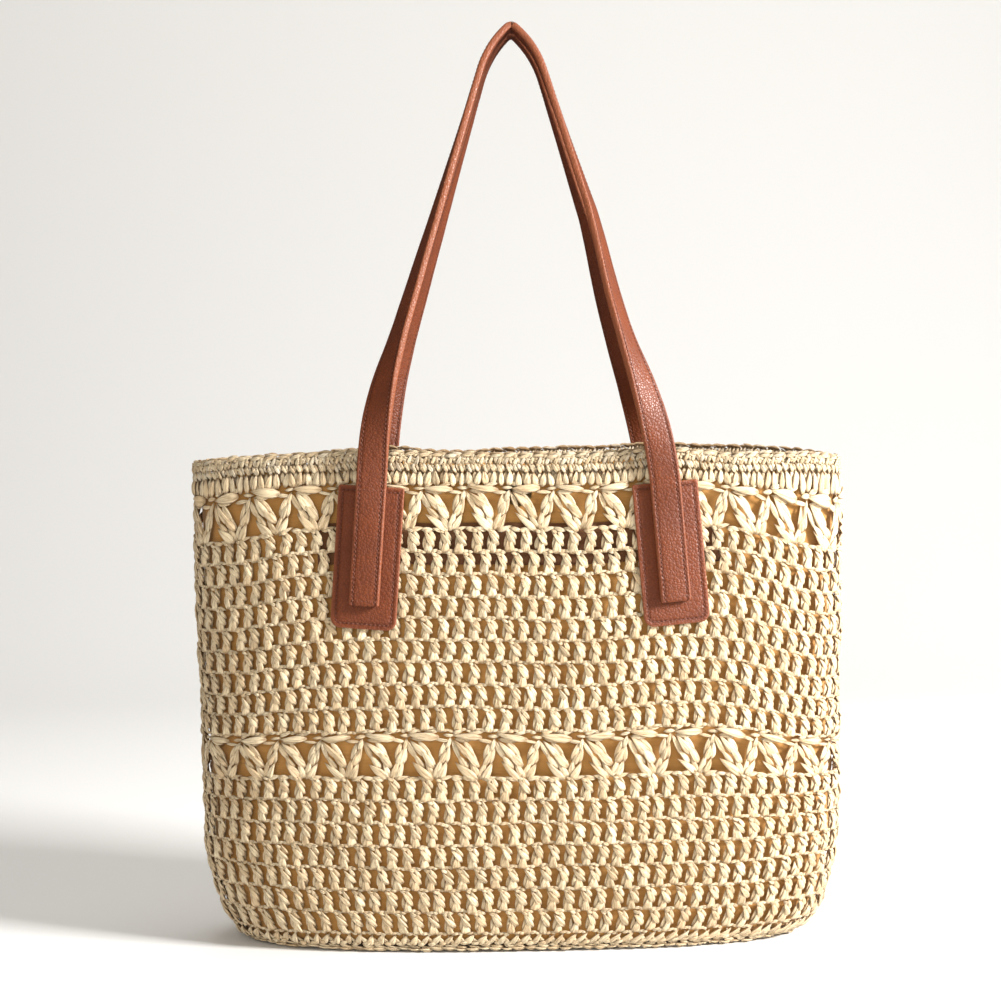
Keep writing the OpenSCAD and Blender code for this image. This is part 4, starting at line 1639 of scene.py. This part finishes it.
class Tab:
    """Leather tab sewn to the wall under a strap's end."""

    CORNER = 6 * MM
    TOP_CORNER = 1.5 * MM
    ROLL = 0.7 * MM

    def __init__(self, wall: Wall, side: Side, hand: Hand) -> None:
        """Place a tab.

        Args:
            wall: The wall that it lies on.
            side: Front or back.
            hand: Left or right, seen from the front.
        """
        self.wall = wall
        self.side = side
        self.hand = hand
        self.handle = wall.handle

    @property
    def name(self) -> str:
        """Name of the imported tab."""
        return f"{self.side.name.lower()}_{self.hand.name.lower()}_tab"

    def at(self, across: np.ndarray, down: np.ndarray, out: np.ndarray | float) -> np.ndarray:
        """Places on the tab.

        Args:
            across: Distance to the right of its middle.
            down: Distance down from its top edge.
            out: Distance out from the straw.

        Returns:
            One row for each place.
        """
        lean = math.radians(self.handle.tab_lean)
        x = self.hand * self.handle.foot_span / 2 + across * math.cos(lean)
        x = x + self.hand * down * math.sin(lean)
        z = self.handle.tab_top - down * math.cos(lean) + self.hand * across * math.sin(lean)
        y = self.wall.shape.wall_y(x, z, -np.asarray(out)) * self.side
        return np.stack(np.broadcast_arrays(x, y, z), axis=-1)

    def outward(self, across: np.ndarray, down: np.ndarray) -> np.ndarray:
        """Outward direction of the wall at places on the tab."""
        step = 1 * MM
        right = self.at(across + step, down, 0.0) - self.at(across - step, down, 0.0)
        rising = self.at(across, down - step, 0.0) - self.at(across, down + step, 0.0)
        return unit(np.cross(right, rising)) * -self.side

    def _outline_half(self, down: np.ndarray) -> np.ndarray:
        """Half the tab's width at a distance down from its top."""
        left = self.handle.tab_h - down
        inside = np.clip(self.CORNER - left, 0, self.CORNER)
        low = np.sqrt(np.maximum(self.CORNER**2 - inside**2, 0)) - self.CORNER
        top = np.clip(self.TOP_CORNER - down, 0, self.TOP_CORNER)
        high = np.sqrt(np.maximum(self.TOP_CORNER**2 - top**2, 0)) - self.TOP_CORNER
        return self.handle.tab_w / 2 + low + high

    def _inset(self, across: np.ndarray, down: np.ndarray) -> np.ndarray:
        """Distance in from the outline, which has rounded lower corners."""
        half_w, half_h = self.handle.tab_w / 2, self.handle.tab_h / 2
        middle = down - half_h
        radius = np.where(middle > 0, self.CORNER, self.TOP_CORNER)
        dx = np.abs(across) - half_w + radius
        dy = np.abs(middle) - half_h + radius
        outside = np.hypot(np.maximum(dx, 0), np.maximum(dy, 0))
        return radius - outside - np.minimum(np.maximum(dx, dy), 0)

    def build(self, leather: bpy.types.Material) -> bpy.types.Object:
        """Make the tab as a closed sheet with rolled edges and a stitch channel."""
        edge = np.array([0, 0.08, 0.25, 0.5, 0.9, 1.5, 2.2, 2.6, 3.0, 3.4, 3.8, 4.8, 6.5, 9.0]) * MM
        half_w = self.handle.tab_w / 2
        columns = np.concatenate([-half_w + edge, np.linspace(-7, 7, 9) * MM, (half_w - edge)[::-1]])
        middle_rows = np.linspace(11 * MM, self.handle.tab_h - 11 * MM, 26)
        rows = np.concatenate([edge, middle_rows, (self.handle.tab_h - edge)[::-1]])
        down = np.repeat(rows[:, None], len(columns), axis=1)
        share = columns[None, :] / half_w
        across = share * self._outline_half(down)
        inset = np.maximum(self._inset(across, down), 0)
        roll = np.sqrt(np.clip(1 - (1 - np.minimum(inset / self.ROLL, 1)) ** 2, 0, 1))
        channel = groove(inset - STITCH_INSET)
        wavy = 0.10 * MM * drift(self.at(across, down, 0.0), 160.0, 5.5)
        out = self.handle.skin * 0.4 + self.handle.tab_t * (0.35 + 0.65 * roll)
        out = out - TAB_CHANNEL * channel + wavy
        front = self.at(across, down, out)
        back = self.at(across, down, self.handle.skin * 0.4)
        count = len(columns) * len(rows)
        faces = flipped(grid_faces(len(columns), len(rows)))
        faces += [tuple(count + v for v in reversed(f)) for f in faces]
        rim = list(range(len(columns)))
        rim += [len(columns) * r + len(columns) - 1 for r in range(1, len(rows))]
        rim += [count - 1 - c for c in range(1, len(columns))]
        rim += [len(columns) * r for r in range(len(rows) - 2, 0, -1)]
        for i, vertex in enumerate(rim):
            after = rim[(i + 1) % len(rim)]
            faces.append((vertex, after, count + after, count + vertex))
        points = np.concatenate([front.reshape(-1, 3), back.reshape(-1, 3)])
        made = make_object(self.name + "_leather", points, flipped(faces, self.side == Side.BACK))
        set_attribute(made, "inset", "FLOAT", np.tile(inset.ravel(), 2))
        set_attribute(made, "channel", "FLOAT", np.tile(channel.ravel(), 2))
        made.data.materials.append(leather)
        hand_in(made, "leather", self.name)
        return made

    def seams(self) -> list[tuple[np.ndarray, np.ndarray]]:
        """Path of the stitching round the tab."""
        inner = STITCH_INSET
        half, bottom = self.handle.tab_w / 2 - inner, self.handle.tab_h - inner
        radius = self.CORNER - inner
        corner = np.linspace(0, np.pi / 2, 6)
        right = [(half, d) for d in np.linspace(inner, bottom - radius, 40)]
        right += [(half - radius + radius * math.cos(a), bottom - radius + radius * math.sin(a))
                  for a in corner]
        left = [(-x, d) for x, d in reversed(right)]
        top = [(x, inner) for x in np.linspace(-half, half, 14)]
        flat = np.array(right + left + top)
        out = self.handle.skin * 0.4 + self.handle.tab_t - 0.12 * MM
        return [(self.at(flat[:, 0], flat[:, 1], out), self.outward(flat[:, 0], flat[:, 1]))]


@dataclass
class StrapRing:
    """Where one cross section of a strap lies."""

    place: np.ndarray
    wide: np.ndarray
    face: np.ndarray
    half: float
    length: float


class Strap:
    """A handle: one strap from one sewn end over the top to the other."""

    END_CORNER = 1.5 * MM
    END_TOP = 30 * MM
    SEAM_INSET = 2.4 * MM
    CROSS_SEAMS = (1, 19)
    CROWN_REACH = 20 * MM
    CROWN_STEP = 2 * MM

    def __init__(self, wall: Wall, side: Side) -> None:
        """Work out every cross section.

        Args:
            wall: The wall that its ends are sewn to.
            side: Front or back.
        """
        self.wall = wall
        self.side = side
        self.handle = wall.handle
        self.sewn = (self.handle.tab_top - self.handle.end_bottom) / math.cos(
            math.radians(self.handle.tab_lean))
        left = self._left_rings()
        right = [self._mirrored(ring) for ring in reversed(left[:-1])]
        self.rings = left + right

    def _spine(self, s: float) -> np.ndarray:
        """Place on the free part of the left leg."""
        handle = self.handle
        across, up = handle.front_view(s)
        foot_y = float(self.wall.shape.wall_y(
            handle.foot_span / 2 - handle.strap_w / 2, handle.tab_top, 0.0))
        foot_y += handle.stand_off + handle.strap_t / 2
        crown_y = handle.strap_w / 2 + handle.crown_gap
        share = np.clip((s - handle.foot_rise) / (handle.half_len - handle.foot_rise), 0, 1)
        eased = (math.hypot(share, handle.easing) - handle.easing)
        eased /= math.hypot(1, handle.easing) - handle.easing
        return np.array([across, -foot_y + (foot_y - crown_y) * eased, up])

    def _frame(self, s: float) -> tuple[np.ndarray, np.ndarray]:
        """Wide and face directions on the free part, with the strap's twist."""
        top = self.handle.half_len
        along = unit(self._spine(min(s + MM, top)) - self._spine(max(s - MM, 0.0)))
        to_front = unit(np.array([0.0, -1.0, 0.0]) + along[1] * along)
        outward = np.cross(to_front, along)
        turn = math.radians(self.handle.twist(s))
        face = math.cos(turn) * to_front + math.sin(turn) * outward
        return np.cross(along, face), face

    def _left_rings(self) -> list[StrapRing]:
        """Cross sections from the left sewn end to the middle of the crown."""
        handle = self.handle
        tab = Tab(self.wall, Side.FRONT, Hand.LEFT)
        corner = self.END_CORNER * (1 - np.cos(np.linspace(0, np.pi / 2, 5)))
        downs = np.concatenate([self.sewn - corner, [self.sewn - STITCH_INSET],
                                np.linspace(self.sewn - 6 * MM, 2 * MM, 18)])
        foot = self._spine(0.0)
        wide_top, face_top = self._frame(0.0)
        rings = []
        for down in downs:
            one = np.array([0.0])
            at = np.array([down])
            place = tab.at(one, at, handle.stand_off + handle.strap_t / 2)[0]
            face = tab.outward(one, at)[0]
            blend = 1 - float(soft_step(np.array(down / self.END_TOP)))
            place[1] = place[1] * (1 - blend) + foot[1] * blend
            face = unit(face * (1 - blend) + face_top * blend)
            rising = tab.at(one, at - MM, 0.0)[0] - tab.at(one, at + MM, 0.0)[0]
            wide = unit(np.cross(rising, face))
            left = self.sewn - down
            inside = max(self.END_CORNER - left, 0)
            half = handle.strap_w / 2 - self.END_CORNER + math.sqrt(
                max(self.END_CORNER**2 - inside**2, 0))
            rings.append(StrapRing(place, wide, face, half, -down))
        crown = handle.half_len - self.CROWN_REACH
        stops = np.linspace(0, crown - self.CROWN_STEP, 66)
        bends = np.linspace(crown, handle.half_len, 14)
        for s in np.concatenate([stops, bends]):
            wide, face = self._frame(float(s))
            rings.append(StrapRing(self._spine(float(s)), wide, face, handle.strap_w / 2, float(s)))
        return rings

    def _mirrored(self, ring: StrapRing) -> StrapRing:
        """The same cross section on the right leg."""
        flip = np.array([-1.0, 1.0, 1.0])
        wear = self.wall.wear
        share = min(max(ring.length / wear.right_leg_reach, 0.0), 1.0)
        bow = np.array([wear.right_leg_bow * math.sin(math.pi * share) ** 1.4, 0.0, 0.0])
        return StrapRing(ring.place * flip - bow, ring.wide * flip, ring.face * flip, ring.half,
                         2 * self.handle.half_len - ring.length)

    def _profile(self) -> tuple[np.ndarray, np.ndarray, np.ndarray, np.ndarray]:
        """Cross section: share of the half width, height, inset and channel of each point."""
        half, thick = self.handle.strap_w / 2, self.handle.strap_t / 2
        right = np.array([0, 0.3, 0.55, 0.64, 0.69, 0.733, 0.775, 0.82, 0.88, 0.94, 0.98, 0.996, 1.0])
        share = np.concatenate([right[::-1], -right[1:]])
        inset = half * (1 - np.abs(share))
        round_edge = np.maximum(1 - np.abs(share) ** 30, 0) ** 0.5
        padded = 0.93 + 0.07 * np.maximum(1 - (share / 0.6) ** 2, 0)
        channel = groove(inset - self.SEAM_INSET)
        height = thick * round_edge * padded - STRAP_CHANNEL * channel
        height[0] = height[-1] = 0.0
        back = slice(-2, 0, -1)
        return (np.concatenate([share, share[back]]), np.concatenate([height, -height[back]]),
                np.concatenate([inset, inset[back]]), np.concatenate([channel, channel[back]]))

    def _to_side(self, points: np.ndarray) -> np.ndarray:
        """Mirror to the back for the back handle."""
        return points * np.array([1.0, -float(self.side), 1.0])

    def build(self, leather: bpy.types.Material) -> bpy.types.Object:
        """Make the strap as one closed mesh that bends at the rim."""
        share, height, inset, channel = self._profile()
        points = []
        for ring in self.rings:
            squeeze = 0.55 + 0.45 * min(1.0, (ring.half / (self.handle.strap_w / 2)) ** 6)
            sway = 0.12 * MM * noise.noise(Vector(ring.place) * 90.0)
            points.append(ring.place + ring.wide * (share * ring.half)[:, None]
                          + ring.face * (height * squeeze + sway)[:, None])
        across = len(share)
        faces = grid_faces(across, len(self.rings), closed=True)
        faces.append(tuple(reversed(range(across))))
        faces.append(tuple(across * (len(self.rings) - 1) + i for i in range(across)))
        made = make_object(self._name("strap_leather"), self._to_side(np.concatenate(points)),
                           flipped(faces, self.side == Side.FRONT))
        set_attribute(made, "inset", "FLOAT", np.tile(inset, len(self.rings)))
        set_attribute(made, "channel", "FLOAT", np.tile(channel, len(self.rings)))
        made.data.materials.append(leather)
        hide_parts(*map(self._name, ("strap", "left_strap_end", "right_strap_end")))
        self._fold(made)
        return made

    def _name(self, what: str) -> str:
        """Name of a piece on this side."""
        return f"{self.side.name.lower()}_{what}"

    def _fold(self, made: bpy.types.Object) -> None:
        """Bake the piece's transform into its mesh."""
        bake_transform(made)

    def seams(self, threads: Threads, seed: int) -> None:
        """Sew both edges, on both faces, and across the ends."""
        runs = []
        inset = self.handle.strap_w / 2 - self.SEAM_INSET
        height = self.handle.strap_t / 2 * 0.93 - 0.05 * MM
        free = [r for r in self.rings if r.half > self.handle.strap_w / 2 - 0.1 * MM]
        for facing in (1, -1):
            used = free[1:-1] if facing == 1 else [
                r for r in free if MM < r.length < 2 * self.handle.half_len - MM]
            for edge in (1, -1):
                line = [r.place + r.wide * inset * edge + r.face * height * facing for r in used]
                runs.append((np.array(line), np.array([r.face * facing for r in used])))
        for ring in (part[seam] for part in (free, free[::-1]) for seam in self.CROSS_SEAMS):
            across = np.linspace(-inset, inset, 5)[:, None]
            runs.append((ring.place + ring.wide * across + ring.face * height,
                         np.tile(ring.face, (5, 1))))
        runs = [(self._to_side(points), self._to_side(out)) for points, out in runs]
        made = threads.sew(self._name("strap_stitches"), runs, seed)
        self._fold(made)


class Leather:
    """Both handles with their tabs and stitching."""

    FIRST_SEED = 300
    SEED_STEP = 10

    def __init__(self, wall: Wall, leather: bpy.types.Material, thread: bpy.types.Material) -> None:
        """Prepare the leatherwork.

        Args:
            wall: The wall that it is sewn to.
            leather: Material of the tabs and straps.
            thread: Material of the stitching.
        """
        self.wall = wall
        self.leather = leather
        self.threads = Threads(thread)

    def build(self) -> None:
        """Make the tabs, straps and stitches of both sides."""
        seed = self.FIRST_SEED
        for side in Side:
            strap = Strap(self.wall, side)
            strap.build(self.leather)
            strap.seams(self.threads, seed)
            for hand in Hand:
                seed += self.SEED_STEP
                tab = Tab(self.wall, side, hand)
                tab.build(self.leather)
                hand_in(self.threads.sew(tab.name + "_stitches", tab.seams(), seed), "leather")
            log.info("%s handle: %d cross sections", side.name.lower(), len(strap.rings))
        self.threads.remove()


# Lining, stiffening bands and pocket


class Lining:
    """Everything made of cloth inside the straw."""

    HEM = 287 * MM
    OUTER = 4.9 * MM
    CLOTH = 0.8 * MM
    BAND = 0.5 * MM
    BEHIND = 4.1 * MM
    FOLD = 0.7 * MM
    ZIP_PULL = 26 * MM

    def __init__(self, wall: Wall, cloth: bpy.types.Material, band: bpy.types.Material,
                 tape: bpy.types.Material) -> None:
        """Prepare the lining.

        Args:
            wall: The wall that it follows.
            cloth: Material of the lining and pouch.
            band: Material of the stiffening bands, whose dark brown also paints the shade behind the straw.
            tape: Material of the zip's tape.
        """
        self.wall = wall
        self.cloth = cloth
        self.band = band
        self.tape = tape
        self.tape_low, self.tape_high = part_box("zip_tape_lower")[0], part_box("zip_tape_upper")[1]

    def _finish(self, made: bpy.types.Object, material: bpy.types.Material, slot: str,
                node: str) -> None:
        """Bake a piece, give it its material and ride it on the bag."""
        made.data.materials.append(material)
        bake(made)
        hand_in(made, slot, node)

    def _to_zip(self, places: np.ndarray) -> np.ndarray:
        """Pull cloth on the back wall forward so that the zip's tape lies on it."""
        low, high = self.tape_low, self.tape_high
        dx = np.maximum(np.abs(places[..., 0]) - high.x, 0)
        dz = np.maximum(np.maximum(places[..., 2] - high.z, low.z - places[..., 2]), 0)
        near = 1 - soft_step(np.hypot(dx, dz) / self.ZIP_PULL)
        flush = high.y + self.CLOTH + 0.1 * MM
        pulled = places.copy()
        pulled[..., 1] -= np.maximum(places[..., 1] - flush, 0) * near
        return pulled

    def walls(self) -> None:
        """Make the lining's wall, hanging slack with shallow folds."""
        turns = np.linspace(0, 1, 261)[:-1]
        top = self.wall.length_at(self.HEM)
        lengths = np.linspace(0, top, 84)
        places = self.wall.rows(lengths, turns, self.OUTER)
        level = soft_step(lengths / (30 * MM))[:, None] * soft_step((top - lengths) / (25 * MM))[:, None]
        folds = self.FOLD * (1 + drift(places * np.array([1.0, 1.0, 0.35]), 55.0, 9.0)) * level
        inward = unit(np.concatenate([places[..., :2], np.zeros_like(places[..., :1])], axis=-1)
                      * np.array([0.2, 1.0, 1.0]))
        pulled = self._to_zip(self.wall.settle(places) - inward * folds[..., None])
        around = self.wall.shape.around(150 * MM, self.OUTER)
        made = make_sheet("lining_wall_cloth", pulled, *np.meshgrid(turns * around, lengths), closed=True)
        thicken(made, self.CLOTH)
        self._finish(made, self.cloth, "lining", "lining_wall")

    def bottom(self) -> None:
        """Make the lining's base."""
        turns = np.linspace(0, 1, 181)[:-1]
        shares = np.linspace(0.02, 1.0, 20)
        half_w, half_d = self.wall.shape.base_half
        rings = [self.wall.shape.hoop(half_w * s, half_d * s, turns) for s in shares]
        level = self.OUTER + 0.4 * MM
        points = [np.column_stack([ring, np.full(len(ring), level)]) for ring in rings]
        places = np.array(points)
        places[..., 2] += 0.5 * MM * (1 + drift(places, 30.0, 4.0)) * (1 - shares[:, None] ** 4)
        faces = flipped(grid_faces(len(turns), len(shares), closed=True))
        faces.append(tuple(range(len(turns))))
        made = make_object("lining_base_cloth", places, faces)
        set_uv(made, places.reshape(-1, 3)[:, :2])
        thicken(made, self.CLOTH, 1.0)
        self._finish(made, self.cloth, "lining", "lining_base")

    def _hang(self, node: str, places: np.ndarray, material: bpy.types.Material, slot: str,
              flip: bool = False) -> None:
        """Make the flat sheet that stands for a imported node, with UV across and up in metres."""
        low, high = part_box(node)
        x, z = np.meshgrid(np.linspace(low.x, high.x, places.shape[1]),
                           np.linspace(low.z, high.z, places.shape[0]))
        made = make_sheet(node + "_cloth", places, x, z, flip=flip)
        thicken(made, self.BAND)
        self._finish(made, material, slot, node)

    def _patch(self, node: str, side: Side, material: bpy.types.Material, slot: str) -> None:
        """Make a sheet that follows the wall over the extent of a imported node."""
        low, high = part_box(node)
        x, z = np.meshgrid(np.linspace(low.x, high.x, 71), np.linspace(low.z, high.z, 21))
        y = self.wall.shape.wall_y(x, z, self.BEHIND) * side
        places = self.wall.settle(np.stack([x, y, z], axis=-1))
        self._hang(node, places, material, slot, flip=side == Side.BACK)

    def _zip_tape(self, node: str) -> None:
        """Make one half of the zip's tape, with a slightly uneven edge."""
        low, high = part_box(node)
        x, z = np.meshgrid(np.linspace(low.x, high.x, 71), np.linspace(low.z, high.z, 7))
        y = np.full_like(x, high.y) - 0.25 * MM
        upper = node.endswith("upper")
        outer = (z - low.z) / (high.z - low.z) if upper else (high.z - z) / (high.z - low.z)
        y = y + 0.2 * MM * outer * np.sin(x * 210.0)
        self._hang(node, np.stack([x, y, z], axis=-1), self.tape, "tape")

    def build(self) -> None:
        """Make every piece of cloth."""
        self.walls()
        self.bottom()
        for side in Side:
            self._patch(f"{side.name.lower()}_stiffener", side, self.band, "tape")
        self._patch("pocket_pouch", Side.BACK, self.cloth, "lining")
        self._zip_tape("zip_tape_upper")
        self._zip_tape("zip_tape_lower")
        log.info("cloth pieces made")


class Hardware:
    """Metal parts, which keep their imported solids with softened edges."""

    NODES = ("snap_socket", "snap_stud", "snap_socket_plate", "snap_stud_plate", "zip_teeth",
             "zip_stops", "zip_slider", "zip_puller")
    BEVEL = 0.15 * MM

    def __init__(self, metal: bpy.types.Material) -> None:
        """Keep the metal's material."""
        self.metal = metal

    def build(self) -> None:
        """Give each metal node its finish and a small bevel."""
        for node in self.NODES:
            made = frame["nodes"][node]
            made.data.materials.clear()
            made.data.materials.append(self.metal)
            edge = made.modifiers.new("edge", "BEVEL")
            edge.width = self.BEVEL
            edge.segments = 1
            edge.limit_method = "ANGLE"


def main() -> None:
    """Build the bag and its studio, from the straw inwards and then up the handles."""
    logging.basicConfig(level=logging.INFO, format="%(message)s")
    groups = ShaderGroups()
    wall = Wall(BagShape.from_frame(), HandleShape(), WearShape())
    Crochet(wall, StrawFinish().build(groups)).build()
    lining = ClothFinish("lining_cloth", (0.56, 0.29, 0.085), (0.34, 0.15, 0.035)).build(groups)
    # Stiffener cloth: its own brown, dark enough to also paint the shade seen through the straw there.
    band = ClothFinish("band_cloth", (0.17, 0.072, 0.028), (0.09, 0.036, 0.014), 900.0).build(groups)
    tape = ClothFinish("zip_tape", (0.16, 0.075, 0.03), (0.09, 0.04, 0.018), 1900.0).build(groups)
    Lining(wall, lining, band, tape).build()
    Leather(wall, LeatherFinish().build(groups), ThreadFinish().build(groups)).build()
    Hardware(MetalFinish().build(groups)).build()
    Studio().build(FloorFinish().build(groups))


if __name__ == "__main__":
    main()
